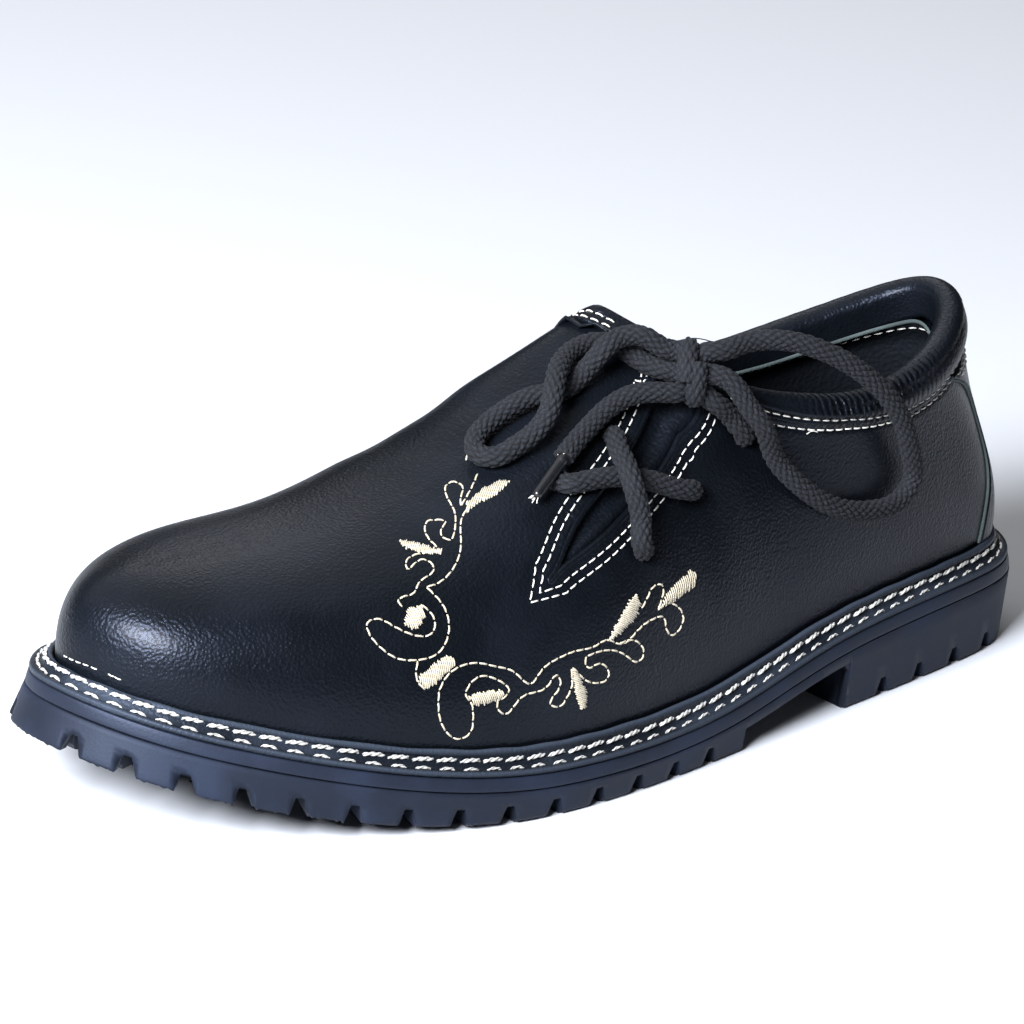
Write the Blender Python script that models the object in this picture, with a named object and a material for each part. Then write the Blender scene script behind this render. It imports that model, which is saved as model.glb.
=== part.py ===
# Side-laced traditional leather shoe, left foot, size about EU 42, standing empty on its sole.
# The toe points to -X, the outer (laced) side faces -Y and the floor is z = 0.
import bmesh
import bpy
import numpy as np

for old in list(bpy.data.objects):
    bpy.data.objects.remove(old)

# Driving dimensions, in metres
SOLE_LENGTH = 0.301
BALL_WIDTH = 0.1118
HEEL_HEIGHT = 0.0243
TOE_SPRING = 0.0207
INSTEP_HEIGHT = 0.1040
COLLAR_HEIGHT = 0.0935

HEEL_BREAST = 0.067
WAIST_FRONT = 0.025
WAIST_THICKNESS = 0.0082
BREAST_FILLET = 0.0025
LUG_DEPTH = 0.0050
NOTCH_WIDTH = 0.0042
NOTCH_LENGTH = 0.0135
TREAD_GROOVE = 0.0040
TREAD_CHAMFER = 0.0012
CUTTER_REACH = 0.0025

CLEARANCE = 0.0003
UPPER_WALL = 0.0022
COLLAR_PAD = 0.0042
COLLAR_ROLL = 0.0012
WELT_SHELF = 0.0052
WELT_THICKNESS = 0.0014
LIP_THICKNESS = 0.0018
LIP_HEIGHT = 0.0032
MIDSOLE_THICKNESS = 0.0033
MIDSOLE_BEVEL = 0.0009
INSOLE_THICKNESS = 0.0030
TONGUE_THICKNESS = 0.0016
TONGUE_GAP = 0.0006
STRAP_THICKNESS = 0.0012
STRAP_GAP = 0.0007
LACE_DIAMETER = 0.0050
LACE_HOLE = 0.0042
AGLET_DIAMETER = 0.0032
KNOT_SIZE = (0.0072, 0.0168, 0.0100)
CORD_STEP = 0.0065

# How far the cutters of the throat and the lace holes pass the wall
THROAT_OUTSIDE = 0.009
THROAT_INSIDE = 0.010
THROAT_ABOVE = 0.012
HOLE_OUTSIDE = 0.004
HOLE_INSIDE = 0.008

STATIONS = 80
FLAP_STATION = 23

# Sole outline: share of the half length (toe -1), share of the half ball width (outer side -1)
OUTLINE = (
    ("toe tip", -1.000, 0.200),
    ("toe outer corner", -0.937, -0.290),
    ("outer toe", -0.784, -0.612),
    ("outer ball", -0.565, -0.868),
    ("outer joint", -0.299, -1.000),
    ("outer waist front", 0.000, -0.934),
    ("outer waist", 0.299, -0.775),
    ("outer heel front", 0.565, -0.642),
    ("outer heel", 0.784, -0.519),
    ("heel outer corner", 0.930, -0.355),
    ("heel back", 1.000, 0.045),
    ("heel inner corner", 0.920, 0.470),
    ("inner heel", 0.764, 0.690),
    ("inner heel front", 0.532, 0.735),
    ("inner waist", 0.266, 0.715),
    ("inner waist front", 0.000, 0.800),
    ("inner joint", -0.299, 0.975),
    ("inner ball", -0.565, 1.000),
    ("inner toe", -0.784, 0.880),
    ("toe inner corner", -0.930, 0.560),
)

# Welt top above the sole's lowest line: share of the half length, share of the heel height
WELT_RISE = (
    (-1.00, 0.585),
    (-0.73, 0.635),
    (-0.40, 0.580),
    (-0.10, 0.520),
    (0.15, 0.590),
    (0.40, 0.850),
    (0.70, 0.970),
    (1.00, 1.000),
)
ROLL_START = -0.27

# Crest of the vamp: share of the half length, share of the half ball width, share of the instep height
CREST = (
    (-0.810, 0.160, 0.566),
    (-0.660, 0.150, 0.586),
    (-0.530, 0.140, 0.606),
    (-0.400, 0.120, 0.656),
    (-0.266, 0.100, 0.744),
    (-0.133, 0.090, 0.852),
    (0.000, 0.080, 0.953),
    (0.066, 0.075, 1.000),
)

# Top edge from the flap round the heel and back: share of the way,
# share of the half length, share of the half ball width, share of the collar height
COLLAR = (
    (0.00, 0.066, 0.075, 1.112),
    (0.04, 0.120, -0.180, 1.050),
    (0.08, 0.180, -0.360, 0.975),
    (0.14, 0.280, -0.500, 0.900),
    (0.22, 0.440, -0.555, 0.850),
    (0.30, 0.592, -0.500, 0.860),
    (0.38, 0.740, -0.350, 0.912),
    (0.44, 0.825, -0.165, 0.960),
    (0.50, 0.860, 0.055, 0.980),
    (0.56, 0.833, 0.260, 0.955),
    (0.62, 0.745, 0.430, 0.895),
    (0.70, 0.598, 0.550, 0.825),
    (0.78, 0.448, 0.570, 0.800),
    (0.86, 0.270, 0.512, 0.855),
    (0.92, 0.140, 0.415, 0.950),
    (0.96, 0.080, 0.265, 1.040),
    (1.00, 0.066, 0.075, 1.112),
)

# Section of the upper: share of the way round from the toe tip, lift of the side as a share of
# its height, bulge as a share of the half ball width, reach over the foot as a share of the
# half width there, and drop below the top edge as a share of the height
SECTIONS = (
    (0.000, 0.72, 0.040, 0.80, 0.00),
    (0.080, 0.72, 0.050, 0.76, 0.00),
    (0.160, 0.62, 0.075, 0.66, 0.00),
    (0.230, 0.55, 0.075, 0.60, 0.02),
    (0.290, 0.50, 0.070, 0.52, 0.06),
    (0.350, 0.46, 0.060, 0.30, 0.26),
    (0.430, 0.40, 0.080, 0.10, 0.36),
    (0.500, 0.36, 0.100, -0.10, 0.42),
    (0.570, 0.40, 0.080, 0.10, 0.36),
    (0.650, 0.46, 0.050, 0.34, 0.26),
    (0.710, 0.50, 0.055, 0.54, 0.06),
    (0.770, 0.55, 0.060, 0.62, 0.02),
    (0.840, 0.62, 0.070, 0.68, 0.00),
    (0.920, 0.72, 0.050, 0.76, 0.00),
    (1.000, 0.72, 0.040, 0.80, 0.00),
)
HEIGHT_ROWS = (0.0, 0.09, 0.19, 0.30, 0.42, 0.54, 0.66, 0.77, 0.85, 0.91, 1.0)
PAD_START = 0.80
PAD_FULL = 0.93

# Side throat from its point to the top edge: share of the way round and share of the height,
# on its inner (instep) edge and on its outer edge
THROAT = (
    (0.2060, 0.405, 0.2070, 0.398),
    (0.2130, 0.439, 0.2155, 0.418),
    (0.2274, 0.510, 0.2361, 0.435),
    (0.2498, 0.561, 0.2616, 0.477),
    (0.2741, 0.630, 0.2890, 0.550),
    (0.2890, 0.720, 0.3060, 0.700),
    (0.3000, 0.880, 0.3180, 0.880),
    (0.3060, 1.000, 0.3250, 1.000),
)

# How far the tongue passes the throat's edges: share of the way round, share of the height
TONGUE_MARGIN = (0.012, 0.080)

# Lace holes: share of the way round and share of the height
LACE_HOLES = (
    ("outer low", 0.2523, 0.360),
    ("outer middle", 0.2847, 0.423),
    ("outer top", 0.3258, 0.720),
    ("inner low", 0.2249, 0.628),
    ("inner middle", 0.2566, 0.640),
    ("inner top", 0.2880, 0.780),
)

# Back strap: share of the height, half width as a share of the way round
STRAP = (
    (0.02, 0.046),
    (0.15, 0.042),
    (0.35, 0.030),
    (0.50, 0.026),
    (0.65, 0.028),
    (0.78, 0.040),
    (0.87, 0.054),
)

# Lace routes in metres, each point chosen by hand over the upper
KNOT_CENTRE = (0.0170, -0.0252, 0.0950)
KNOT_ACROSS = (0.772, -0.632, 0.066)
KNOT_UPWARD = (0.166, 0.301, 0.939)
BAR_LOW = (
    (-0.0245, -0.0299, 0.0746),
    (-0.0217, -0.0309, 0.0748),
    (-0.0147, -0.0320, 0.0752),
    (-0.0076, -0.0331, 0.0743),
    (-0.0005, -0.0342, 0.0723),
    (0.0070, -0.0353, 0.0694),
)
BAR_TOP = (
    (-0.0083, -0.0289, 0.0802),
    (-0.0092, -0.0315, 0.0792),
    (-0.0108, -0.0363, 0.0768),
    (-0.0106, -0.0388, 0.0724),
    (-0.0093, -0.0400, 0.0659),
    (-0.0097, -0.0415, 0.0604),
)
STUB_OUTER = (
    (0.0208, -0.0295, 0.0882),
    (0.0240, -0.0295, 0.0860),
    (0.0270, -0.0292, 0.0836),
    (0.0298, -0.0296, 0.0804),
)
LOOP_FRONT = (
    (0.0143, -0.0211, 0.1000),
    (0.0127, -0.0200, 0.1003),
    (0.0075, -0.0167, 0.1034),
    (0.0025, -0.0140, 0.1030),
    (-0.0024, -0.0137, 0.1004),
    (-0.0050, -0.0123, 0.0966),
    (-0.0084, -0.0117, 0.0931),
    (-0.0136, -0.0115, 0.0910),
    (-0.0194, -0.0088, 0.0898),
    (-0.0256, -0.0071, 0.0873),
    (-0.0323, -0.0067, 0.0839),
    (-0.0371, -0.0085, 0.0812),
    (-0.0389, -0.0127, 0.0792),
    (-0.0365, -0.0158, 0.0792),
    (-0.0322, -0.0169, 0.0809),
    (-0.0275, -0.0180, 0.0838),
    (-0.0235, -0.0187, 0.0882),
    (-0.0202, -0.0168, 0.0932),
    (-0.0157, -0.0125, 0.0965),
    (-0.0094, -0.0078, 0.0979),
    (-0.0030, -0.0056, 0.0990),
    (0.0025, -0.0067, 0.0996),
    (0.0068, -0.0113, 0.0983),
    (0.0108, -0.0168, 0.0952),
    (0.0130, -0.0198, 0.0947),
    (0.0144, -0.0212, 0.0945),
)
LOOP_BACK = (
    (0.0213, -0.0264, 0.1001),
    (0.0230, -0.0272, 0.1001),
    (0.0307, -0.0275, 0.1008),
    (0.0410, -0.0302, 0.1011),
    (0.0514, -0.0342, 0.0981),
    (0.0630, -0.0372, 0.0914),
    (0.0732, -0.0382, 0.0826),
    (0.0809, -0.0368, 0.0728),
    (0.0857, -0.0348, 0.0645),
    (0.0880, -0.0335, 0.0572),
    (0.0845, -0.0338, 0.0531),
    (0.0768, -0.0348, 0.0518),
    (0.0691, -0.0354, 0.0527),
    (0.0608, -0.0358, 0.0551),
    (0.0528, -0.0355, 0.0593),
    (0.0464, -0.0346, 0.0643),
    (0.0405, -0.0333, 0.0705),
    (0.0365, -0.0342, 0.0765),
    (0.0330, -0.0353, 0.0815),
    (0.0288, -0.0339, 0.0870),
    (0.0242, -0.0318, 0.0934),
    (0.0216, -0.0299, 0.0949),
    (0.0201, -0.0287, 0.0951),
)
LACE_END = (
    (0.0118, -0.0252, 0.0906),
    (0.0101, -0.0245, 0.0907),
    (0.0065, -0.0231, 0.0909),
    (0.0018, -0.0214, 0.0906),
    (-0.0041, -0.0206, 0.0886),
    (-0.0118, -0.0222, 0.0854),
    (-0.0195, -0.0248, 0.0822),
    (-0.0242, -0.0268, 0.0802),
)
AGLET = (
    (-0.0248, -0.0271, 0.0798),
    (-0.0347, -0.0294, 0.0726),
)

# Notches in the tread's edge: first and last share of the way round, count
FORE_NOTCHES = (0.0199, 0.2782, 14)
HEEL_NOTCHES = (0.3830, 0.4746, 5)
# Chevron grooves between the channels: share of the half length, half span as a share of the
# half ball width
GROOVES = (
    (-0.76, 0.40),
    (-0.60, 0.58),
    (-0.44, 0.66),
    (-0.28, 0.66),
    (-0.12, 0.60),
    (0.03, 0.55),
    (0.60, 0.36),
    (0.76, 0.33),
)

MATERIALS = {
    "leather": ((0.012, 0.014, 0.019), 0.42, 0.0),
    "rubber": ((0.020, 0.024, 0.034), 0.62, 0.0),
    "welt_leather": ((0.014, 0.017, 0.024), 0.50, 0.0),
    "insole_leather": ((0.050, 0.050, 0.048), 0.70, 0.0),
    "lace": ((0.020, 0.021, 0.024), 0.80, 0.0),
    "aglet": ((0.010, 0.010, 0.011), 0.30, 0.0),
}


def spline(knots, values, at, closed=False):
    # Cubic spline through the values, natural at its ends or closed; gives places and slopes.
    knots = np.asarray(knots, float)
    values = np.asarray(values, float).reshape(len(knots), -1)
    step = np.diff(knots)
    slope = np.diff(values, axis=0) / step[:, None]
    last = len(knots) - 1
    matrix = np.zeros((last + 1, last + 1))
    right = np.zeros_like(values)
    for i in range(1, last):
        matrix[i, i - 1:i + 2] = step[i - 1], 2 * (step[i - 1] + step[i]), step[i]
        right[i] = 6 * (slope[i] - slope[i - 1])
    if closed:
        matrix[0, 0], matrix[0, last] = 1, -1
        matrix[last, 0], matrix[last, 1] = 2 * step[0], step[0]
        matrix[last, last - 1], matrix[last, last] = step[-1], 2 * step[-1]
        right[last] = 6 * (slope[0] - slope[-1])
    else:
        matrix[0, 0] = matrix[last, last] = 1
    bend = np.linalg.solve(matrix, right)
    i = np.clip(np.searchsorted(knots, at, side="right") - 1, 0, last - 1)
    d = (at - knots[i])[:, None]
    h = step[i][:, None]
    start = slope[i] - h * (2 * bend[i] + bend[i + 1]) / 6
    twist = (bend[i + 1] - bend[i]) / h
    place = values[i] + d * start + d ** 2 * bend[i] / 2 + d ** 3 * twist / 6
    return place, start + d * bend[i] + d ** 2 * twist / 2


def eased(rows, at):
    # Values of a table between its rows, level at each row.
    rows = np.asarray(rows, float)
    i = np.clip(np.searchsorted(rows[:, 0], at, side="right") - 1, 0, len(rows) - 2)
    share = (at - rows[i, 0]) / (rows[i + 1, 0] - rows[i, 0])
    weight = ((1 - np.cos(np.pi * np.clip(share, 0, 1))) / 2)[:, None]
    return rows[i, 1:] * (1 - weight) + rows[i + 1, 1:] * weight


def smoothstep(low, high, value):
    share = np.clip((value - low) / (high - low), 0, 1)
    return share * share * (3 - 2 * share)


def sole_outline():
    # Dense closed outline of the sole: places, outward normals and the share of the way round.
    points = np.array([row[1:] for row in OUTLINE])
    points = np.vstack([points, points[:1]]) * (SOLE_LENGTH / 2, BALL_WIDTH / 2)
    chord = np.hypot(*np.diff(points, axis=0).T) ** 0.7
    knots = np.concatenate([[0], np.cumsum(chord)])
    place, slope = spline(knots, points, np.linspace(0, knots[-1], 2001), closed=True)
    low, high = place.min(axis=0), place.max(axis=0)
    place = (place - (low + high) / 2) * (SOLE_LENGTH, BALL_WIDTH) / (high - low)
    slope /= np.linalg.norm(slope, axis=1)[:, None]
    normal = np.column_stack([slope[:, 1], -slope[:, 0]])
    way = np.concatenate([[0], np.cumsum(np.hypot(*np.diff(place, axis=0).T))])
    return place, normal, way / way[-1]


OUTLINE_PLACE, OUTLINE_NORMAL, OUTLINE_WAY = sole_outline()


def edge(way, inset):
    # Points of the sole's outline, moved inwards, at shares of the way round from the toe tip.
    points = []
    for axis in range(2):
        moved = OUTLINE_PLACE[:, axis] - OUTLINE_NORMAL[:, axis] * inset
        points.append(np.interp(way, OUTLINE_WAY, moved))
    return np.column_stack(points)


def floor_line(x):
    # Lowest line of the sole: flat up to the ball, then the toe spring as a parabola.
    share = (ROLL_START - x / (SOLE_LENGTH / 2)) / (ROLL_START + 1)
    return TOE_SPRING * np.clip(share, 0, None) ** 2


def welt_top(x):
    rows = np.array(WELT_RISE)
    rise, _ = spline(rows[:, 0], rows[:, 1], np.clip(x / (SOLE_LENGTH / 2), -1, 1))
    return floor_line(x) + rise[:, 0] * HEEL_HEIGHT


def ring(inset, height):
    # Loop of points round the shoe at an inset, at a height above or below the welt's top.
    way = np.arange(STATIONS) / STATIONS
    xy = edge(way, inset)
    return np.column_stack([xy, welt_top(xy[:, 0]) + height])


def material(name):
    made = bpy.data.materials.get(name)
    if made is None:
        colour, roughness, metallic = MATERIALS[name]
        made = bpy.data.materials.new(name)
        made.use_nodes = True
        made.diffuse_color = (*colour, 1)
        shader = made.node_tree.nodes["Principled BSDF"]
        shader.inputs["Base Color"].default_value = (*colour, 1)
        shader.inputs["Roughness"].default_value = roughness
        shader.inputs["Metallic"].default_value = metallic
    return made


def add_object(name, points, faces, finish, smooth=True):
    mesh = bpy.data.meshes.new(name)
    mesh.from_pydata([tuple(p) for p in points], [], [tuple(int(i) for i in f) for f in faces])
    mesh.validate()
    if smooth:
        mesh.shade_smooth()
        mesh.set_sharp_from_angle(angle=0.7)
    made = bpy.data.objects.new(name, mesh)
    made.data.materials.append(material(finish))
    bpy.context.scene.collection.objects.link(made)
    return made


def wall_faces(lower, upper, count):
    # Quads between two closed loops of the same count, facing out when the loops run clockwise
    # seen from above and the second lies higher.
    return [(lower + i, upper + i, upper + (i + 1) % count, lower + (i + 1) % count) for i in range(count)]


def lid_faces(start, count, facing_up):
    # Strips across a closed loop, each from the outer side to the inner side.
    faces = []
    for i in range(count // 2):
        outer, inner = (i, i + 1), ((count - i) % count, count - i - 1)
        face = (outer[0], outer[1], inner[1], inner[0])
        face = [start + corner for corner in dict.fromkeys(face)]
        faces.append(face if facing_up else face[::-1])
    return faces


def add_plate(name, rings, finish):
    # Solid closed at its lowest and highest loop.
    faces = []
    for level in range(len(rings) - 1):
        faces += [f[::-1] for f in wall_faces(level * STATIONS, (level + 1) * STATIONS, STATIONS)]
    faces += lid_faces(0, STATIONS, False)
    faces += lid_faces((len(rings) - 1) * STATIONS, STATIONS, True)
    return add_object(name, np.vstack(rings), faces, finish)


def add_band(name, rings, finish):
    # Solid ring whose section runs through the loops, outside from bottom to top, then inside.
    faces = []
    for level in range(len(rings)):
        following = (level + 1) % len(rings)
        faces += [f[::-1] for f in wall_faces(level * STATIONS, following * STATIONS, STATIONS)]
    return add_object(name, np.vstack(rings), faces, finish)


UPPER_INSET = WELT_SHELF + LIP_THICKNESS + CLEARANCE


def top_edge(way):
    # Where each station's section ends: on the vamp's crest, or on the flap and collar.
    flap = FLAP_STATION / STATIONS
    side = np.minimum(way, 1 - way)
    half = (SOLE_LENGTH / 2, BALL_WIDTH / 2)
    tip = edge(np.zeros(1), UPPER_INSET)[0, 0]
    centre = (edge(side, UPPER_INSET)[:, 0] + edge(1 - side, UPPER_INSET)[:, 0]) / 2
    stop = edge(np.array([flap, 1 - flap]), UPPER_INSET)[:, 0].mean()
    crest = np.array(CREST)
    share = np.clip((centre - tip) / (stop - tip), 0, 1)
    along = crest[0, 0] + (crest[-1, 0] - crest[0, 0]) * share
    over, _ = spline(crest[:, 0], crest[:, 1:], along)
    on_crest = np.column_stack([along * half[0], over[:, 0] * half[1], over[:, 1] * INSTEP_HEIGHT])
    collar = np.array(COLLAR)
    round_collar = np.clip((way - flap) / (1 - 2 * flap), 0, 1)
    over, _ = spline(collar[:, 0], collar[:, 1:], round_collar)
    on_collar = over * (*half, COLLAR_HEIGHT)
    return np.where((side <= flap)[:, None], on_crest, on_collar)


def section_curves(way):
    # Four Bezier points of each station's section, from the welt to the top edge.
    foot = edge(way, UPPER_INSET)
    foot = np.column_stack([foot, welt_top(foot[:, 0]) - WELT_THICKNESS])
    top = top_edge(way)
    lift, bulge, reach, drop = eased(SECTIONS, way).T
    outward = np.column_stack([edge(way, -1.0) - edge(way, 0.0), np.zeros(len(way))])
    to_foot = (foot - top) * (1, 1, 0)
    height = (top - foot)[:, 2]
    up = np.array([0, 0, 1.0])
    second = foot + up * (lift * height)[:, None] + outward * (bulge * BALL_WIDTH / 2)[:, None]
    third = top + to_foot * reach[:, None] - up * (drop * height)[:, None]
    return foot, second, third, top


def bezier(curves, t):
    t = t[:, None]
    a, b, c, d = curves
    return a * (1 - t) ** 3 + b * 3 * t * (1 - t) ** 2 + c * 3 * t ** 2 * (1 - t) + d * t ** 3


def lip_share(curves):
    # Where on each section the upper leaves the welt's lip.
    wanted = curves[0][:, 2] + WELT_THICKNESS + LIP_HEIGHT
    low, high = np.zeros(len(wanted)), np.full(len(wanted), 0.5)
    for _ in range(30):
        middle = (low + high) / 2
        below = bezier(curves, middle)[:, 2] < wanted
        low, high = np.where(below, middle, low), np.where(below, high, middle)
    return (low + high) / 2


def pad_share(way, rows):
    # How far each point is padded: all round the collar, fading out at the flap.
    flap = FLAP_STATION / STATIONS
    side = np.minimum(way, 1 - way)
    round_collar = smoothstep(flap + 0.02, flap + 0.08, side)
    return round_collar[:, None] * smoothstep(PAD_START, PAD_FULL, rows)[None, :]


def wall_thickness(way, levels):
    return UPPER_WALL + (COLLAR_PAD + COLLAR_ROLL) * pad_share(way, levels)


def upper_surface(way, rows, outwards=0.0):
    # Outer surface of the upper on a grid of stations and rows, moved along its normals.
    # Row 0 is the lower edge, row 1 the lip's top and the last one the top edge.
    curves = section_curves(way)
    lip = lip_share(curves)
    grid = [bezier(curves, np.zeros(len(way)))]
    for share in rows:
        grid.append(bezier(curves, lip + (1 - lip) * share))
    grid = np.array(grid).transpose(1, 0, 2)
    normals = surface_normals(way, rows)
    levels = np.concatenate([[0], rows])
    return grid + normals * (outwards + COLLAR_ROLL * pad_share(way, levels)[:, :, None])


def surface_normals(way, rows):
    # Outward normals of the surface from small steps along it and up it.
    small = 1e-3
    curves = section_curves(way)
    lip = lip_share(curves)
    normals = []
    for share in np.concatenate([[0], rows]):
        t = np.zeros(len(way)) if share == 0 and not normals else lip + (1 - lip) * share
        t = np.clip(t, 2 * small, 1 - 2 * small)
        upward = bezier(curves, t + small) - bezier(curves, t - small)
        ahead = bezier(section_curves((way + small) % 1), t) - bezier(section_curves((way - small) % 1), t)
        normal = np.cross(ahead, upward)
        normals.append(normal / np.linalg.norm(normal, axis=1)[:, None])
    return np.array(normals).transpose(1, 0, 2)


def cut(target, cutter, solver="EXACT", operation="DIFFERENCE"):
    # Boolean that stays on the target; the cutter is a guide only.
    cutter.hide_render = True
    cutter.display_type = "WIRE"
    modifier = target.modifiers.new(cutter.name, "BOOLEAN")
    modifier.operation = operation
    modifier.solver = solver
    modifier.object = cutter


def add_prisms(name, bodies, finish="rubber"):
    # Closed bodies, each a list of equal loops joined in order and capped at both ends.
    points, faces = [], []
    for loops in bodies:
        count = len(loops[0])
        start = len(points)
        for loop in loops:
            points += [tuple(p) for p in loop]
        for level in range(len(loops) - 1):
            faces += wall_faces(start + level * count, start + (level + 1) * count, count)
        faces.append([start + i for i in range(count)])
        faces.append([start + (len(loops) - 1) * count + i for i in reversed(range(count))])
    made = add_object(name, points, faces, finish, smooth=False)
    face_outwards(made)
    return made


def face_outwards(made):
    work = bmesh.new()
    work.from_mesh(made.data)
    bmesh.ops.recalc_face_normals(work, faces=work.faces)
    work.to_mesh(made.data)
    work.free()


def notch_bodies():
    # Tapered slots that run in from the side, wider at the floor.
    ways = []
    for first, last, count in (FORE_NOTCHES, HEEL_NOTCHES):
        ways += list(np.linspace(first, last, count))
    ways = np.array(ways + [1 - way for way in ways])
    centre = edge(ways, 0.0)
    inward = edge(ways, 1.0) - centre
    bodies = []
    for place, into in zip(centre, inward):
        along = np.array([-into[1], into[0]])
        base = float(floor_line(place[0]))
        loops = []
        for reach in (-CUTTER_REACH, NOTCH_LENGTH):
            loop = []
            for side, height in (
                (-0.68, -CUTTER_REACH),
                (0.68, -CUTTER_REACH),
                (0.26, LUG_DEPTH),
                (-0.26, LUG_DEPTH),
            ):
                spot = place + into * reach + along * side * NOTCH_WIDTH
                loop.append((*spot, base + height))
            loops.append(loop)
        bodies.append(loops)
    return bodies


def channel_bodies():
    # Grooves that run parallel to the edge inside the notches, open to the waist at both ends.
    bodies = []
    for start, end, count in ((-0.295, 0.295, 49), (0.365, 0.635, 21)):
        ways = np.linspace(start, end, count) % 1
        loops = []
        for way in ways:
            loop = []
            for side, height in (
                (-0.1, -CUTTER_REACH),
                (0.9, -CUTTER_REACH),
                (0.9, LUG_DEPTH * 0.92),
                (-0.1, LUG_DEPTH * 0.92),
            ):
                spot = edge(np.array([way]), NOTCH_LENGTH + TREAD_GROOVE * side)[0]
                loop.append((*spot, float(floor_line(spot[0])) + height))
            loops.append(loop)
        bodies.append(loops)
    return bodies


def groove_bodies():
    # Chevrons across the middle of the tread.
    bodies = []
    for along, span in GROOVES:
        x = along * SOLE_LENGTH / 2
        y = span * BALL_WIDTH / 2
        tip = -0.2 * y
        back = x + TREAD_GROOVE
        plan = ((x, -y), (x + tip, 0), (x, y), (back, y), (back + tip, 0), (back, -y))
        loops = []
        for height in (-CUTTER_REACH, LUG_DEPTH * 0.86):
            loops.append([(px, py, float(floor_line(px)) + height) for px, py in plan])
        bodies.append(loops)
    return bodies


def waist_body():
    # The arch under the waist, from the forefoot tread to the heel's breast.
    profile = [(WAIST_FRONT - BREAST_FILLET, -CUTTER_REACH)]
    for x in np.linspace(WAIST_FRONT, HEEL_BREAST - BREAST_FILLET, 8):
        profile.append((x, float(welt_top(np.array([x]))[0]) - WAIST_THICKNESS))
    profile += [(HEEL_BREAST, profile[-1][1] - BREAST_FILLET), (HEEL_BREAST, -CUTTER_REACH)]
    return [[[(x, side * BALL_WIDTH, z) for x, z in profile] for side in (-1, 1)]]


def build_outsole():
    top = -WELT_THICKNESS - MIDSOLE_THICKNESS - 2 * CLEARANCE
    rings = [ring(2 * TREAD_CHAMFER, 0.0), ring(TREAD_CHAMFER, 0.0), ring(0.0, top)]
    rings[0][:, 2] = floor_line(rings[0][:, 0])
    rings[1][:, 2] = floor_line(rings[1][:, 0]) + TREAD_CHAMFER
    outsole = add_plate("outsole", rings, "rubber")
    cut(outsole, add_prisms("tread_channels", channel_bodies()))
    cut(outsole, add_prisms("edge_notches", notch_bodies()), "MANIFOLD")
    cut(outsole, add_prisms("tread_grooves", groove_bodies()))
    cut(outsole, add_prisms("waist_arch", waist_body()))
    return outsole


def build_midsole():
    top = -WELT_THICKNESS - CLEARANCE
    rings = [ring(0.0, top - MIDSOLE_THICKNESS), ring(MIDSOLE_BEVEL, top)]
    return add_plate("midsole", rings, "welt_leather")


def upper_loops(way):
    # The upper's outer points at its lower edge and at the lip's top.
    curves = section_curves(way)
    return bezier(curves, np.zeros(len(way))), bezier(curves, lip_share(curves))


def build_welt():
    way = np.arange(STATIONS) / STATIONS
    low, high = upper_loops(way)
    outward = np.column_stack([edge(way, -1.0) - edge(way, 0.0), np.zeros(len(way))])
    rings = [
        ring(MIDSOLE_BEVEL, -WELT_THICKNESS),
        ring(MIDSOLE_BEVEL, 0.0),
        ring(WELT_SHELF, 0.0),
        high + outward * (CLEARANCE + LIP_THICKNESS) - (0, 0, LIP_THICKNESS * 0.4),
        high + outward * (CLEARANCE + LIP_THICKNESS * 0.5) + (0, 0, LIP_THICKNESS * 0.1),
        high + outward * CLEARANCE - (0, 0, LIP_THICKNESS * 0.3),
        low + outward * CLEARANCE,
    ]
    return add_band("welt", rings, "welt_leather")


def build_insole():
    inset = UPPER_INSET + UPPER_WALL + CLEARANCE
    rings = [ring(inset, -WELT_THICKNESS), ring(inset, INSOLE_THICKNESS - WELT_THICKNESS)]
    return add_plate("insole", rings, "insole_leather")


def build_upper():
    way = np.arange(STATIONS) / STATIONS
    rows = np.array(HEIGHT_ROWS)
    levels = np.concatenate([[0], rows])
    outer = upper_surface(way, rows)
    wall = wall_thickness(way, levels)
    inner = outer - surface_normals(way, rows) * wall[:, :, None]
    inner[:, 0, 2] = outer[:, 0, 2]
    for skin in (outer, inner):
        for k in range(1, FLAP_STATION + 1):
            middle = (skin[k, -1] + skin[-k, -1]) / 2
            skin[k, -1] = skin[-k, -1] = middle
    count = len(levels)
    points = np.concatenate([outer.reshape(-1, 3), inner.reshape(-1, 3)])

    def corner(k, j, inside):
        k %= STATIONS
        if j == count - 1 and k > STATIONS - FLAP_STATION - 1:
            k = STATIONS - k
        return (STATIONS * count if inside else 0) + k * count + j

    faces = []
    for k in range(STATIONS):
        for j in range(count - 1):
            quad = [corner(k, j, 0), corner(k + 1, j, 0), corner(k + 1, j + 1, 0), corner(k, j + 1, 0)]
            faces.append(quad)
            quad = [corner(k, j, 1), corner(k, j + 1, 1), corner(k + 1, j + 1, 1), corner(k + 1, j, 1)]
            faces.append(quad)
        faces.append([corner(k, 0, 0), corner(k, 0, 1), corner(k + 1, 0, 1), corner(k + 1, 0, 0)])
    rim = [k % STATIONS for k in range(FLAP_STATION, STATIONS - FLAP_STATION + 1)]
    crown = []
    for k in rim[:-1]:
        middle = (outer[k, -1] + inner[k, -1]) / 2
        thickness = np.linalg.norm(outer[k, -1] - inner[k, -1])
        crown.append(len(points))
        points = np.vstack([points, middle + (0, 0, thickness * 0.35)])
    last = count - 1
    for i, k in enumerate(rim[:-1]):
        following = crown[(i + 1) % len(crown)]
        faces.append([corner(k, last, 0), corner(rim[i + 1], last, 0), following, crown[i]])
        faces.append([crown[i], following, corner(rim[i + 1], last, 1), corner(k, last, 1)])
    used = sorted({index for face in faces for index in face})
    renumber = {index: place for place, index in enumerate(used)}
    faces = [[renumber[index] for index in face] for face in faces]
    return add_object("upper", points[used], faces, "leather")


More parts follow.
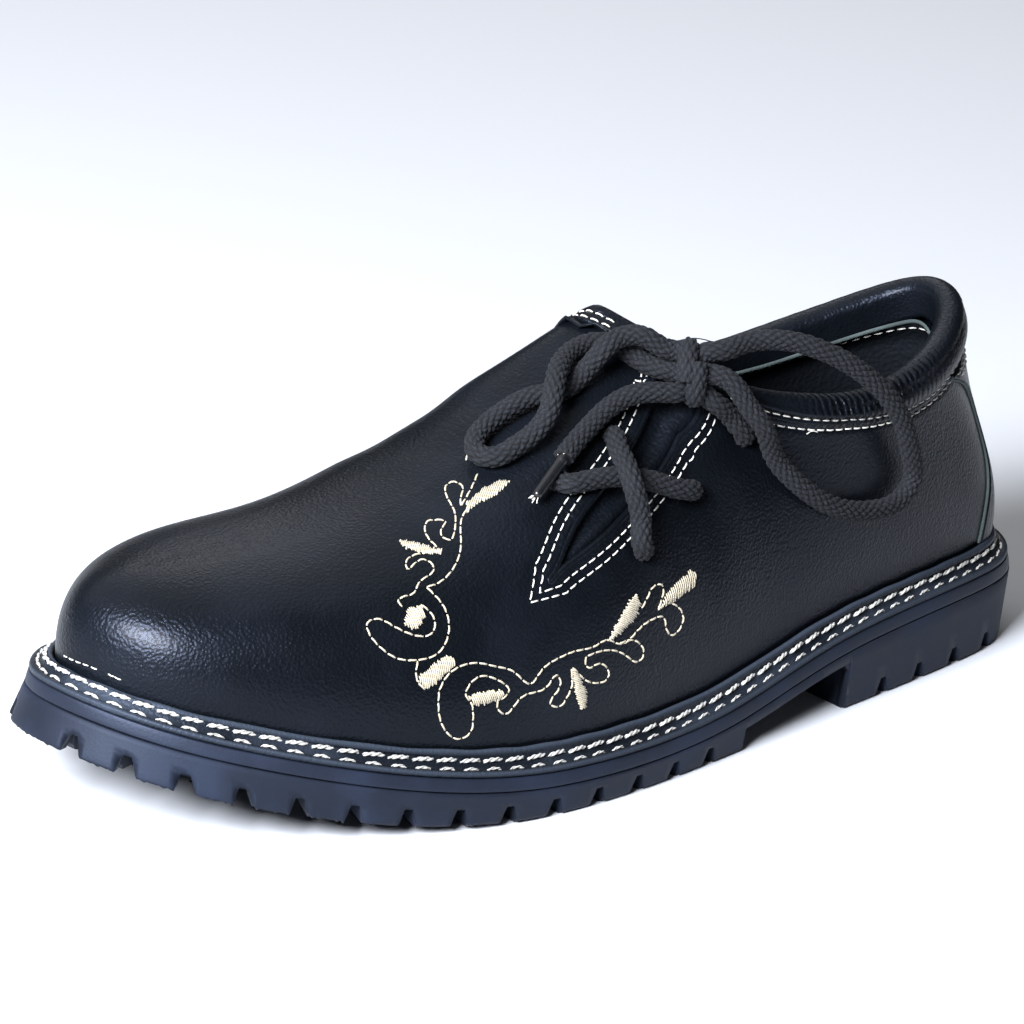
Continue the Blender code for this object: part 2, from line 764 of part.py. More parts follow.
def upper_spot(way, share, outwards):
    # One point of the upper's surface, moved along its normal, and the normal there.
    ways, shares = np.array([way]), np.array([share])
    point = upper_surface(ways, shares, outwards)[0, 1]
    return point, surface_normals(ways, shares)[0, 1]


def throat_rows(count):
    rows = np.array(THROAT)
    at = np.linspace(0, len(rows) - 1, count)
    return spline(np.arange(len(rows)), rows, at)[0]


def throat_body():
    # Wedge through the wall, following both edges of the throat.
    loops = []
    for inner_way, inner_share, outer_way, outer_share in throat_rows(22):
        loop = []
        for way, share, reach in (
            (inner_way, inner_share, THROAT_OUTSIDE),
            (outer_way, outer_share, THROAT_OUTSIDE),
            (outer_way, outer_share, -THROAT_INSIDE),
            (inner_way, inner_share, -THROAT_INSIDE),
        ):
            loop.append(upper_spot(way, share, reach)[0])
        loops.append(np.array(loop))
    loops.append(loops[-1] + (0, 0, THROAT_ABOVE))
    return [loops]


def hole_bodies():
    bodies = []
    for _, way, share in LACE_HOLES:
        point, normal = upper_spot(way, share, 0.0)
        side = np.cross(normal, (0, 0, 1))
        side /= np.linalg.norm(side)
        up = np.cross(side, normal)
        loops = []
        for reach in (-HOLE_INSIDE, HOLE_OUTSIDE):
            turn = np.linspace(0, 2 * np.pi, 10, endpoint=False)
            around = np.outer(np.cos(turn), side) + np.outer(np.sin(turn), up)
            loops.append(point + normal * reach + around * LACE_HOLE / 2)
        bodies.append(loops)
    return bodies


def add_sheet(name, grid_out, grid_in, finish):
    # Closed sheet between two matching grids of points.
    rows, columns = grid_out.shape[:2]
    points = np.concatenate([grid_out.reshape(-1, 3), grid_in.reshape(-1, 3)])
    half = rows * columns
    faces = []
    for i in range(rows - 1):
        for j in range(columns - 1):
            a = i * columns + j
            quad = [a, a + 1, a + columns + 1, a + columns]
            faces.append(quad)
            faces.append([half + corner for corner in reversed(quad)])
    border = [j for j in range(columns)]
    border += [i * columns + columns - 1 for i in range(1, rows)]
    border += [(rows - 1) * columns + j for j in reversed(range(columns - 1))]
    border += [i * columns for i in reversed(range(1, rows - 1))]
    for a, b in zip(border, border[1:] + border[:1]):
        faces.append([b, a, half + a, half + b])
    made = add_object(name, points, faces, finish)
    face_outwards(made)
    return made


def build_tongue():
    # Gusset leather behind the throat, held to the inside of the wall.
    rows = throat_rows(12)[:-1]
    grids = ([], [])
    for index, (inner_way, inner_share, outer_way, outer_share) in enumerate(rows):
        margin = np.array(TONGUE_MARGIN) * (0.6 + 0.4 * smoothstep(0, 3, index))
        a = (inner_way, inner_share) - margin * (1, -1)
        b = (outer_way, outer_share) + margin * (1, -1)
        if index == 0:
            a, b = a - TONGUE_MARGIN, b - TONGUE_MARGIN
        line = ([], [])
        for part_way in np.linspace(0, 1, 7):
            way, share = a * (1 - part_way) + b * part_way
            share = min(share, 0.97)
            wall = wall_thickness(np.array([way]), np.array([share]))[0, 0]
            line[0].append(upper_spot(way, share, -wall - TONGUE_GAP)[0])
            line[1].append(upper_spot(way, share, -wall - TONGUE_GAP - TONGUE_THICKNESS)[0])
        grids[0].append(line[0])
        grids[1].append(line[1])
    return add_sheet("tongue", np.array(grids[0]), np.array(grids[1]), "leather")


def build_back_strap():
    # Overlay down the back of the heel, narrow at mid height.
    rows = np.array(STRAP)
    shares = np.linspace(rows[0, 0], rows[-1, 0], 10)
    half = np.interp(shares, rows[:, 0], rows[:, 1])
    grids = ([], [])
    for share, width in zip(shares, half):
        ways = np.linspace(0.5 - width, 0.5 + width, 11)
        for grid, reach in zip(grids, (STRAP_GAP + STRAP_THICKNESS, STRAP_GAP)):
            grid.append(upper_surface(ways, np.array([share]), reach)[:, 1])
    return add_sheet("back_strap", np.array(grids[0]), np.array(grids[1]), "leather")


def smooth_route(points):
    # Evenly spaced points on a smooth curve through the chosen ones, and one close to
    # each end, so that the end faces stand square to the curve.
    points = np.array(points)
    knots = np.concatenate([[0], np.cumsum(np.linalg.norm(np.diff(points, axis=0), axis=1))])
    dense = spline(knots, points, np.linspace(0, knots[-1], 600))[0]
    way = np.concatenate([[0], np.cumsum(np.linalg.norm(np.diff(dense, axis=0), axis=1))])
    steps = np.linspace(0, way[-1], max(2, round(way[-1] / CORD_STEP) + 1))
    steps = np.insert(steps, (1, len(steps) - 1), (CORD_STEP * 0.2, way[-1] - CORD_STEP * 0.2))
    return np.column_stack([np.interp(steps, way, dense[:, axis]) for axis in range(3)])


def add_cord(name, points, diameter, finish="lace"):
    # Round cord: a curve with a bevel and filled caps.
    route = smooth_route(points)
    curve = bpy.data.curves.new(name, "CURVE")
    curve.dimensions = "3D"
    curve.bevel_depth = diameter / 2
    curve.bevel_resolution = 2
    curve.use_fill_caps = True
    line = curve.splines.new("POLY")
    line.points.add(len(route) - 1)
    for point, place in zip(line.points, route):
        point.co = (*place, 1)
    made = bpy.data.objects.new(name, curve)
    made.data.materials.append(material(finish))
    bpy.context.scene.collection.objects.link(made)
    return made


def tube_loops(points, diameter, sides=8):
    # Loops round a route, turned as little as possible from one to the next.
    route = smooth_route(points)
    forward = np.gradient(route, axis=0)
    forward /= np.linalg.norm(forward, axis=1)[:, None]
    across = np.cross(forward[0], (0, 0, 1.0))
    turn = np.linspace(0, 2 * np.pi, sides, endpoint=False)[:, None]
    loops = []
    for place, ahead in zip(route, forward):
        across = across - ahead * (across @ ahead)
        across /= np.linalg.norm(across)
        up = np.cross(ahead, across)
        loops.append(place + (across * np.cos(turn) + up * np.sin(turn)) * diameter / 2)
    return loops


def build_lace_crossing():
    # The two visible runs between the lace holes, joined where they cross.
    crossing = add_prisms("lace_crossing", [tube_loops(BAR_TOP, LACE_DIAMETER)], "lace")
    low = add_prisms("lower_run", [tube_loops(BAR_LOW, LACE_DIAMETER)], "lace")
    cut(crossing, low, operation="UNION")


def build_lace_knot():
    across, upward = np.array(KNOT_ACROSS), np.array(KNOT_UPWARD)
    across /= np.linalg.norm(across)
    upward -= across * (across @ upward)
    upward /= np.linalg.norm(upward)
    towards = np.cross(across, upward)
    corners = []
    for z in (-0.5, 0.5):
        for x, y in ((-0.5, -0.5), (0.5, -0.5), (0.5, 0.5), (-0.5, 0.5)):
            size = (across * x * KNOT_SIZE[0], upward * y * KNOT_SIZE[1], towards * z * KNOT_SIZE[2])
            corners.append(np.array(KNOT_CENTRE) + sum(size))
    knot = add_prisms("lace_knot", [[corners[:4], corners[4:]]], "lace")
    bevel = knot.modifiers.new("rounding", "BEVEL")
    bevel.width = KNOT_SIZE[0] * 0.3
    bevel.segments = 2


def build_lace():
    build_lace_crossing()
    build_lace_knot()
    add_cord("lace_stub", STUB_OUTER, LACE_DIAMETER)
    add_cord("lace_loop_front", LOOP_FRONT, LACE_DIAMETER)
    add_cord("lace_loop_back", LOOP_BACK, LACE_DIAMETER)
    add_cord("lace_end", LACE_END, LACE_DIAMETER)
    add_cord("aglet", AGLET, AGLET_DIAMETER, "aglet")


build_outsole()
build_midsole()
build_welt()
build_insole()
upper = build_upper()
cut(upper, add_prisms("throat", throat_body()), "MANIFOLD")
cut(upper, add_prisms("lace_holes", hole_bodies()))
build_tongue()
build_back_strap()
build_lace()
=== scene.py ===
# Side-laced traditional leather shoe, left foot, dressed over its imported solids.
# Lengths are metres; the toe points to -X, the laced outer side to -Y, the floor is z = 0.
import math
import bmesh
import bpy
import numpy as np
from mathutils import Matrix, Vector
from mathutils.bvhtree import BVHTree


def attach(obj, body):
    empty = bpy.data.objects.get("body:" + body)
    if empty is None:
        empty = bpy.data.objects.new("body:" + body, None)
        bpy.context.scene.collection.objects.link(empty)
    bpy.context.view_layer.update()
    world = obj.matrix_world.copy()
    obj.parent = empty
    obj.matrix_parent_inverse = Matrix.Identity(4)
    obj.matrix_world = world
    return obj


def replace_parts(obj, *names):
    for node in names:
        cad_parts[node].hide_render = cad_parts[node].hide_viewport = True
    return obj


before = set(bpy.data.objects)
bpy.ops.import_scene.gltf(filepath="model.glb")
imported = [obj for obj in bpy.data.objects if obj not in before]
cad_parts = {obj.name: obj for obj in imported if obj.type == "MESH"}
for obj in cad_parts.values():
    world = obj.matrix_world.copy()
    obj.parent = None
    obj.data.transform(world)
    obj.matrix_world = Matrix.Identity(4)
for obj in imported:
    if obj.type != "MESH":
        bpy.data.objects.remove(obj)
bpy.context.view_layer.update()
rng = np.random.default_rng(7)

# camera of the photograph: place, what it looks at, roll in degrees, focal length over picture width
photo = {
    "place": (-0.9394, -1.07485, 0.5644),
    "target": (-0.0139, 0.00285, 0.0549),
    "roll": 4.0,
    "focal": 5.9286,
    "pixels": 1024,
    "sensor": 36.0,     # millimetres
}

# colours as sRGB hex
colours = {
    "leather": "#06080b",
    "leatherWorn": "#0b0e13",
    "leatherShine": "#c8d5f4",
    "lining": "#0b0d0f",
    "liningEdge": "#48514f",
    "welt": "#0f1217",
    # second tone of the welt: a paler band along its outer edge and a painted highlight on the lip's crown
    "weltEdgeAndHighlight": "#2c323b",
    "midsole": "#10141d",
    "rubber": "#0b0f17",
    "rubberDust": "#151b28",
    "lace": "#0f1115",
    # painted shade between the lace's strands
    "laceGrooveShade": "#040405",
    "laceFleck": "#2b2f36",
    "aglet": "#0c0d0f",
    "thread": "#bdbab1",
    "threadShade": "#76726a",
    "ropeThread": "#a19f99",
    "ropeShade": "#4d4b45",
    "silk": "#9d947f",
    "silkShade": "#6d6450",
    "insole": "#26282a",
    "floor": "#b8babd",
    "surroundings": "#eef1f5",
}

# the shoe's driving sizes, the same as the solids have
shoe = {
    "soleLength": 0.301,
    "ballWidth": 0.1118,
    "heelHeight": 0.0243,
    "toeSpring": 0.0207,
    "instepHeight": 0.1040,
    "collarHeight": 0.0935,
    "wall": 0.0022,
    "pad": 0.0054,
    "shelf": 0.0052,
    "weltThickness": 0.0014,
    "lipThickness": 0.0018,
    "lipHeight": 0.0032,
    "midsole": 0.0033,
    "gap": 0.0003,
    "flapWay": 23 / 80,
}

# sole outline: share of the half length (toe -1), share of the half ball width (outer side -1)
outlinePoints = (
    (-1.000, 0.200), (-0.937, -0.290), (-0.784, -0.612), (-0.565, -0.868), (-0.299, -1.000),
    (0.000, -0.934), (0.299, -0.775), (0.565, -0.642), (0.784, -0.519), (0.930, -0.355),
    (1.000, 0.045), (0.920, 0.470), (0.764, 0.690), (0.532, 0.735), (0.266, 0.715),
    (0.000, 0.800), (-0.299, 0.975), (-0.565, 1.000), (-0.784, 0.880), (-0.930, 0.560),
)
# welt top over the sole's lowest line: share of the half length, share of the heel height
weltRise = (
    (-1.00, 0.585), (-0.73, 0.635), (-0.40, 0.580), (-0.10, 0.520),
    (0.15, 0.590), (0.40, 0.850), (0.70, 0.970), (1.00, 1.000),
)
rollStart = -0.27
# crest of the vamp: shares of the half length, half ball width and instep height
crest = (
    (-0.810, 0.160, 0.566), (-0.660, 0.150, 0.586), (-0.530, 0.140, 0.606), (-0.400, 0.120, 0.656),
    (-0.266, 0.100, 0.744), (-0.133, 0.090, 0.852), (0.000, 0.080, 0.953), (0.066, 0.075, 1.000),
)
# top edge from the flap round the heel: share of the way, then shares of the half length,
# half ball width and collar height
collar = (
    (0.00, 0.066, 0.075, 1.112), (0.04, 0.120, -0.180, 1.050), (0.08, 0.180, -0.360, 0.975),
    (0.14, 0.280, -0.500, 0.900), (0.22, 0.440, -0.555, 0.850), (0.30, 0.592, -0.500, 0.860),
    (0.38, 0.740, -0.350, 0.912), (0.44, 0.825, -0.165, 0.960), (0.50, 0.860, 0.055, 0.980),
    (0.56, 0.833, 0.260, 0.955), (0.62, 0.745, 0.430, 0.895), (0.70, 0.598, 0.550, 0.825),
    (0.78, 0.448, 0.570, 0.800), (0.86, 0.270, 0.512, 0.855), (0.92, 0.140, 0.415, 0.950),
    (0.96, 0.080, 0.265, 1.040), (1.00, 0.066, 0.075, 1.112),
)
# section of the upper by way round: lift, bulge, reach over the foot, drop under the top edge
sections = (
    (0.000, 0.72, 0.040, 0.80, 0.00), (0.080, 0.72, 0.050, 0.76, 0.00), (0.160, 0.62, 0.075, 0.66, 0.00),
    (0.230, 0.55, 0.075, 0.60, 0.02), (0.290, 0.50, 0.070, 0.52, 0.06), (0.350, 0.46, 0.060, 0.30, 0.26),
    (0.430, 0.40, 0.080, 0.10, 0.36), (0.500, 0.36, 0.100, -0.10, 0.42), (0.570, 0.40, 0.080, 0.10, 0.36),
    (0.650, 0.46, 0.050, 0.34, 0.26), (0.710, 0.50, 0.055, 0.54, 0.06), (0.770, 0.55, 0.060, 0.62, 0.02),
    (0.840, 0.62, 0.070, 0.68, 0.00), (0.920, 0.72, 0.050, 0.76, 0.00), (1.000, 0.72, 0.040, 0.80, 0.00),
)
# throat from its point to the top edge: way and height share on its instep edge and its outer edge
throat = (
    (0.2060, 0.405, 0.2070, 0.398), (0.2130, 0.439, 0.2155, 0.418), (0.2274, 0.510, 0.2361, 0.435),
    (0.2498, 0.561, 0.2616, 0.477), (0.2741, 0.630, 0.2890, 0.550), (0.2890, 0.720, 0.3060, 0.700),
    (0.3000, 0.880, 0.3180, 0.880), (0.3060, 1.000, 0.3250, 1.000),
)
laceHoles = {
    "outerLow": (0.2523, 0.360), "outerMiddle": (0.2847, 0.423), "outerTop": (0.3258, 0.720),
    "innerLow": (0.2249, 0.628), "innerMiddle": (0.2566, 0.640), "innerTop": (0.2880, 0.780),
}
# back strap: share of the height, half width as a share of the way round
strap = (
    (0.02, 0.046), (0.15, 0.042), (0.35, 0.030), (0.50, 0.026), (0.65, 0.028), (0.78, 0.040),
    (0.87, 0.054),
)


def spline(knots, values, at, closed=False):
    # cubic spline through the values at the knots, natural or closed; gives places and slopes
    knots = np.asarray(knots, float)
    values = np.asarray(values, float).reshape(len(knots), -1)
    at = np.asarray(at, float)
    step = np.diff(knots)
    slope = np.diff(values, axis=0) / step[:, None]
    last = len(knots) - 1
    matrix = np.zeros((last + 1, last + 1))
    right = np.zeros_like(values)
    for i in range(1, last):
        matrix[i, i - 1:i + 2] = step[i - 1], 2 * (step[i - 1] + step[i]), step[i]
        right[i] = 6 * (slope[i] - slope[i - 1])
    if closed:
        matrix[0, 0], matrix[0, last] = 1, -1
        matrix[last, 0], matrix[last, 1] = 2 * step[0], step[0]
        matrix[last, last - 1], matrix[last, last] = step[-1], 2 * step[-1]
        right[last] = 6 * (slope[0] - slope[-1])
    else:
        matrix[0, 0] = matrix[last, last] = 1
    bend = np.linalg.solve(matrix, right)
    i = np.clip(np.searchsorted(knots, at, side="right") - 1, 0, last - 1)
    d = (at - knots[i])[:, None]
    h = step[i][:, None]
    start = slope[i] - h * (2 * bend[i] + bend[i + 1]) / 6
    turn = (bend[i + 1] - bend[i]) / h
    place = values[i] + d * start + d ** 2 * bend[i] / 2 + d ** 3 * turn / 6
    return place, start + d * bend[i] + d ** 2 * turn / 2


def eased(rows, at):
    # table values between its rows by half a cosine, level at each row
    rows = np.asarray(rows, float)
    i = np.clip(np.searchsorted(rows[:, 0], at, side="right") - 1, 0, len(rows) - 2)
    share = (at - rows[i, 0]) / (rows[i + 1, 0] - rows[i, 0])
    weight = ((1 - np.cos(np.pi * np.clip(share, 0, 1))) / 2)[:, None]
    return rows[i, 1:] * (1 - weight) + rows[i + 1, 1:] * weight


def smoothstep(low, high, value):
    # 0 up to low, 1 from high on, and s s (3 - 2 s) between them
    share = np.clip((value - low) / (high - low), 0, 1)
    return share * share * (3 - 2 * share)


def unit(vectors):
    # each vector over its own length
    return vectors / np.maximum(np.linalg.norm(vectors, axis=-1, keepdims=True), 1e-12)


def arcLength(points):
    # length of the path up to each point: running sum of the distances between neighbours
    return np.concatenate([[0], np.cumsum(np.linalg.norm(np.diff(points, axis=0), axis=1))])


def arch(share):
    # upper half of an ellipse over shares 0 to 1: root of 1 - (2 s - 1)^2
    return np.sqrt(np.clip(1 - (2 * share - 1) ** 2, 0, 1))


def halving(low, high, rounds, isLow):
    # halving search for many places at once: the lower end moves up wherever the middle is too low
    for _ in range(rounds):
        middle = (low + high) / 2
        under = isLow(middle)
        low, high = np.where(under, middle, low), np.where(under, high, middle)
    return low, high


def soleOutline():
    # closed spline through the outline points, scaled to the sole's length and width
    points = np.array(outlinePoints)
    points = np.vstack([points, points[:1]]) * (shoe["soleLength"] / 2, shoe["ballWidth"] / 2)
    knots = np.concatenate([[0], np.cumsum(np.hypot(*np.diff(points, axis=0).T) ** 0.7)])
    place, slope = spline(knots, points, np.linspace(0, knots[-1], 2001), closed=True)
    low, high = place.min(axis=0), place.max(axis=0)
    place = (place - (low + high) / 2) * (shoe["soleLength"], shoe["ballWidth"]) / (high - low)
    slope = unit(slope)
    way = np.concatenate([[0], np.cumsum(np.hypot(*np.diff(place, axis=0).T))])
    return place, np.column_stack([slope[:, 1], -slope[:, 0]]), way / way[-1], way[-1]


outlinePlace, outlineNormal, outlineWay, perimeter = soleOutline()


def edgeAt(way, inset):
    # outline point at a share of the way round, moved inwards by the inset
    way = np.asarray(way, float) % 1.0
    columns = []
    for axis in range(2):
        place = np.interp(way, outlineWay, outlinePlace[:, axis])
        columns.append(place - np.interp(way, outlineWay, outlineNormal[:, axis]) * inset)
    return np.column_stack(columns)


def outwardAt(way):
    # level unit vector that points out of the sole's edge
    return np.column_stack([edgeAt(way, -1.0) - edgeAt(way, 0.0), np.zeros(len(way))])


def floorLine(x):
    # flat up to the ball, then the toe spring as a parabola
    share = (rollStart - x / (shoe["soleLength"] / 2)) / (rollStart + 1)
    return shoe["toeSpring"] * np.clip(share, 0, None) ** 2


def weltTop(x):
    # the floor line plus the heel's height times its share there, a spline through the rises
    rows = np.array(weltRise)
    rise = spline(rows[:, 0], rows[:, 1], np.clip(x / (shoe["soleLength"] / 2), -1, 1))[0]
    return floorLine(x) + rise[:, 0] * shoe["heelHeight"]


upperInset = shoe["shelf"] + shoe["lipThickness"] + shoe["gap"]


def topEdge(way):
    # end of each section: on the vamp's crest up to the flap, then on the flap and collar edge
    flap = shoe["flapWay"]
    side = np.minimum(way, 1 - way)
    half = (shoe["soleLength"] / 2, shoe["ballWidth"] / 2)
    tip = edgeAt(np.zeros(1), upperInset)[0, 0]
    centre = (edgeAt(side, upperInset)[:, 0] + edgeAt(1 - side, upperInset)[:, 0]) / 2
    stop = edgeAt(np.array([flap, 1 - flap]), upperInset)[:, 0].mean()
    rows = np.array(crest)
    along = rows[0, 0] + (rows[-1, 0] - rows[0, 0]) * np.clip((centre - tip) / (stop - tip), 0, 1)
    over = spline(rows[:, 0], rows[:, 1:], along)[0]
    onCrest = np.column_stack([along * half[0], over[:, 0] * half[1], over[:, 1] * shoe["instepHeight"]])
    rows = np.array(collar)
    over = spline(rows[:, 0], rows[:, 1:], np.clip((way - flap) / (1 - 2 * flap), 0, 1))[0]
    return np.where((side <= flap)[:, None], onCrest, over * (*half, shoe["collarHeight"]))


def sectionAt(way):
    # four Bezier points of the section: foot behind the welt's lip, two handles, top edge
    foot = edgeAt(way, upperInset)
    foot = np.column_stack([foot, weltTop(foot[:, 0]) - shoe["weltThickness"]])
    top = topEdge(way)
    lift, bulge, reach, drop = eased(sections, way).T
    outward = outwardAt(way)
    height = (top - foot)[:, 2]
    up = np.array([0, 0, 1.0])
    second = foot + up * (lift * height)[:, None] + outward * (bulge * shoe["ballWidth"] / 2)[:, None]
    third = top + (foot - top) * (1, 1, 0) * reach[:, None] - up * (drop * height)[:, None]
    # the inner side's sections come round to the flap's edge from the front, so none crosses another
    swing = smoothstep(0.58, 0.65, way) * (1 - smoothstep(0.72, 0.82, way))
    third[:, 0] = third[:, 0] * (1 - swing) + (top[:, 0] - 0.016) * swing
    return foot, second, third, top


def bezier(curves, t):
    # a (1-t)^3 + 3 b t (1-t)^2 + 3 c t^2 (1-t) + d t^3
    t = t[:, None]
    a, b, c, d = curves
    return a * (1 - t) ** 3 + b * 3 * t * (1 - t) ** 2 + c * 3 * t ** 2 * (1 - t) + d * t ** 3


def lipShare(curves, height=shoe["lipHeight"]):
    # share of each section at a height over the welt
    wanted = curves[0][:, 2] + shoe["weltThickness"] + height
    low, high = halving(np.zeros(len(wanted)), np.full(len(wanted), 0.5), 26,
                        lambda middle: bezier(curves, middle)[:, 2] < wanted)
    return (low + high) / 2


def plainUpper(way, share):
    # point on the undisturbed upper: Bezier section at the way, share 0 at the lip and 1 at the top
    way, share = np.broadcast_arrays(np.asarray(way, float) % 1.0, np.asarray(share, float))
    shape = way.shape
    way, share = way.ravel(), share.ravel()
    curves = sectionAt(way)
    lip = lipShare(curves)
    return bezier(curves, lip + (1 - lip) * share).reshape(*shape, 3)


def upperNormal(way, share, small=1e-3):
    # cross product of small steps round the shoe and up the section, pointing out
    way, share = np.broadcast_arrays(np.asarray(way, float), np.asarray(share, float))
    share = np.clip(share, -0.02, 1 - 2 * small)
    ahead = plainUpper(way + small, share) - plainUpper(way - small, share)
    upward = plainUpper(way, share + small) - plainUpper(way, share - small)
    return unit(np.cross(ahead, upward))


def padShare(way, share):
    # padded collar: full round the ankle, fading at the flap and below the stitches
    side = np.minimum(way % 1.0, 1 - way % 1.0)
    flap = shoe["flapWay"]
    return smoothstep(flap + 0.02, flap + 0.08, side) * smoothstep(0.80, 0.93, share)


def wallAt(way, share):
    # thickness of the wall: the plain leather plus the padding's share
    return shoe["wall"] + shoe["pad"] * padShare(way, share)


def alongLine(values, way, at):
    # values at arc lengths on a line: straight interpolation of each coordinate
    return np.stack([np.interp(at, way, column) for column in values.T], axis=-1)


def evenly(points, count):
    # evenly spaced points on the straight stretches between the given ones
    way = arcLength(points)
    return alongLine(points, way, np.linspace(0, way[-1], count))


def densify(points, count):
    # points spaced evenly on a smooth curve through the given ones
    points = np.asarray(points, float)
    knots = arcLength(points)
    return evenly(spline(knots, points, np.linspace(0, knots[-1], max(400, 4 * count)))[0], count)


def throatEdges(count=160):
    # both edges of the throat, from its point to the top, as way and share pairs
    rows = np.array(throat)
    at = np.linspace(0, len(rows) - 1, count)
    dense = spline(np.arange(len(rows)), rows, at)[0]
    return dense[:, :2], dense[:, 2:]


def nearest(points, line):
    # distance from each point to the closest point of a dense line, in blocks of points
    flat = points.reshape(-1, 3).astype(np.float32)
    line = line.astype(np.float32)
    found = np.empty(len(flat), np.float32)
    square = (line ** 2).sum(1)
    for start in range(0, len(flat), 4000):
        block = flat[start:start + 4000]
        gap = (block ** 2).sum(1)[:, None] + square - 2 * block @ line.T
        found[start:start + 4000] = np.sqrt(np.maximum(gap.min(1), 0))
    return found.reshape(points.shape[:-1])


def gridFaces(rows, columns, closeRows=False, closeColumns=False, start=0):
    # quads between neighbours of a grid numbered row by row
    i = np.arange(rows if closeRows else rows - 1)[:, None]
    j = np.arange(columns if closeColumns else columns - 1)[None, :]
    i, j = np.broadcast_arrays(i, j)
    nextRow, nextColumn = (i + 1) % rows, (j + 1) % columns
    quads = np.stack([i * columns + j, nextRow * columns + j, nextRow * columns + nextColumn,
                      i * columns + nextColumn], axis=-1)
    return quads.reshape(-1, 4) + start


def addPiece(name, points, faces, material, weld=0.0, turnOut=False):
    # one mesh object at the origin from arrays of points and faces, or a list of arrays of faces; weld
    # joins corners closer than that, turnOut turns all faces outwards
    mesh = bpy.data.meshes.new(name)
    faces = faces if isinstance(faces, list) else [faces]
    corners = np.concatenate([f.ravel() for f in faces]).astype(np.int32)
    sizes = np.concatenate([np.full(len(f), f.shape[1]) for f in faces]).astype(np.int32)
    starts = np.concatenate([[0], np.cumsum(sizes)[:-1]]).astype(np.int32)
    points = np.asarray(points, float).reshape(-1, 3)
    mesh.vertices.add(len(points))
    mesh.vertices.foreach_set("co", points.ravel())
    mesh.loops.add(len(corners))
    mesh.loops.foreach_set("vertex_index", corners)
    mesh.polygons.add(len(sizes))
    mesh.polygons.foreach_set("loop_start", starts)
    mesh.update(calc_edges=True)
    mesh.validate()
    if weld or turnOut:
        work = bmesh.new()
        work.from_mesh(mesh)
        if weld:
            bmesh.ops.remove_doubles(work, verts=work.verts, dist=weld)
        if turnOut:
            bmesh.ops.recalc_face_normals(work, faces=work.faces)
        loose = [v for v in work.verts if not v.link_faces]
        bmesh.ops.delete(work, geom=loose, context="VERTS")
        work.to_mesh(mesh)
        work.free()
    mesh.shade_smooth()
    made = bpy.data.objects.new(name, mesh)
    made.data.materials.append(material)
    bpy.context.scene.collection.objects.link(made)
    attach(made, "root")
    return made


def addValues(made, name, values):
    # one value at each corner of the mesh, which the material reads by its name
    layer = made.data.attributes.new(name, "FLOAT", "POINT")
    layer.data.foreach_set("value", np.asarray(values, np.float32).ravel())


def thicken(made, thickness):
    # the skin's thickness, laid inwards from its surface
    wall = made.modifiers.new("thickness", "SOLIDIFY")
    wall.thickness = thickness
    wall.offset = -1


def tubes(paths, normals, radius, sides, flatten):
    # rings carried along each path: place + radius (cos a side + sin a up), paths as (count, steps, 3)
    paths = np.asarray(paths, float)
    forward = unit(np.gradient(paths, axis=1))
    side = unit(np.cross(forward, normals))
    up = np.cross(side, forward)
    turn = np.linspace(0, 2 * np.pi, sides, endpoint=False)
    radius = np.broadcast_to(np.asarray(radius, float), paths.shape[:2])[..., None, None]
    ring = side[..., None, :] * np.cos(turn)[:, None] + up[..., None, :] * np.sin(turn)[:, None] * flatten
    return paths[..., None, :] + ring * radius


def tubeCaps(steps, sides):
    # the faces over both ends of a tube
    return np.stack([np.arange(sides), np.arange(sides)[::-1] + (steps - 1) * sides])


def addTubes(name, paths, normals, radius, material, sides=6, flatten=1.0):
    # closed tubes in one mesh: rings joined along each path, with a face over each end
    rings = tubes(paths, normals, radius, sides, flatten)
    count, steps = rings.shape[:2]
    offset = np.arange(count)[:, None, None] * steps * sides
    walls = (gridFaces(steps, sides, closeColumns=True)[None] + offset).reshape(-1, 4)
    caps = (tubeCaps(steps, sides)[None] + offset).reshape(-1, sides)
    return addPiece(name, rings, [walls, caps], material)


def linear(hexColour):
    # sRGB hex to linear red, green, blue and full alpha
    parts = [int(hexColour[i:i + 2], 16) / 255 for i in (1, 3, 5)]
    return tuple(c / 12.92 if c <= 0.04045 else ((c + 0.055) / 1.055) ** 2.4 for c in parts) + (1.0,)


def addNode(tree, kind, inputs=None, out=0, into=None, **settings):
    # one shader node of the kind ShaderNode + kind with its settings; an input takes a value or another
    # node's output, and into is the socket that this node's output feeds
    node = tree.nodes.new("ShaderNode" + kind)
    for name, value in settings.items():
        setattr(node, name, value)
    for name, value in (inputs or {}).items():
        if isinstance(value, bpy.types.NodeSocket):
            tree.links.new(value, node.inputs[name])
        else:
            node.inputs[name].default_value = value
    if into:
        tree.links.new(node.outputs[out], into)
    return node.outputs[out]


def newMaterial(name, **sockets):
    # Principled material with fixed values on the shader's own sockets
    made = bpy.data.materials.new(name)
    made.use_nodes = True
    shader = made.node_tree.nodes["Principled BSDF"]
    for socket, value in sockets.items():
        shader.inputs[socket.replace("_", " ")].default_value = value
    return made, made.node_tree, shader


pleatWidth = 0.0022


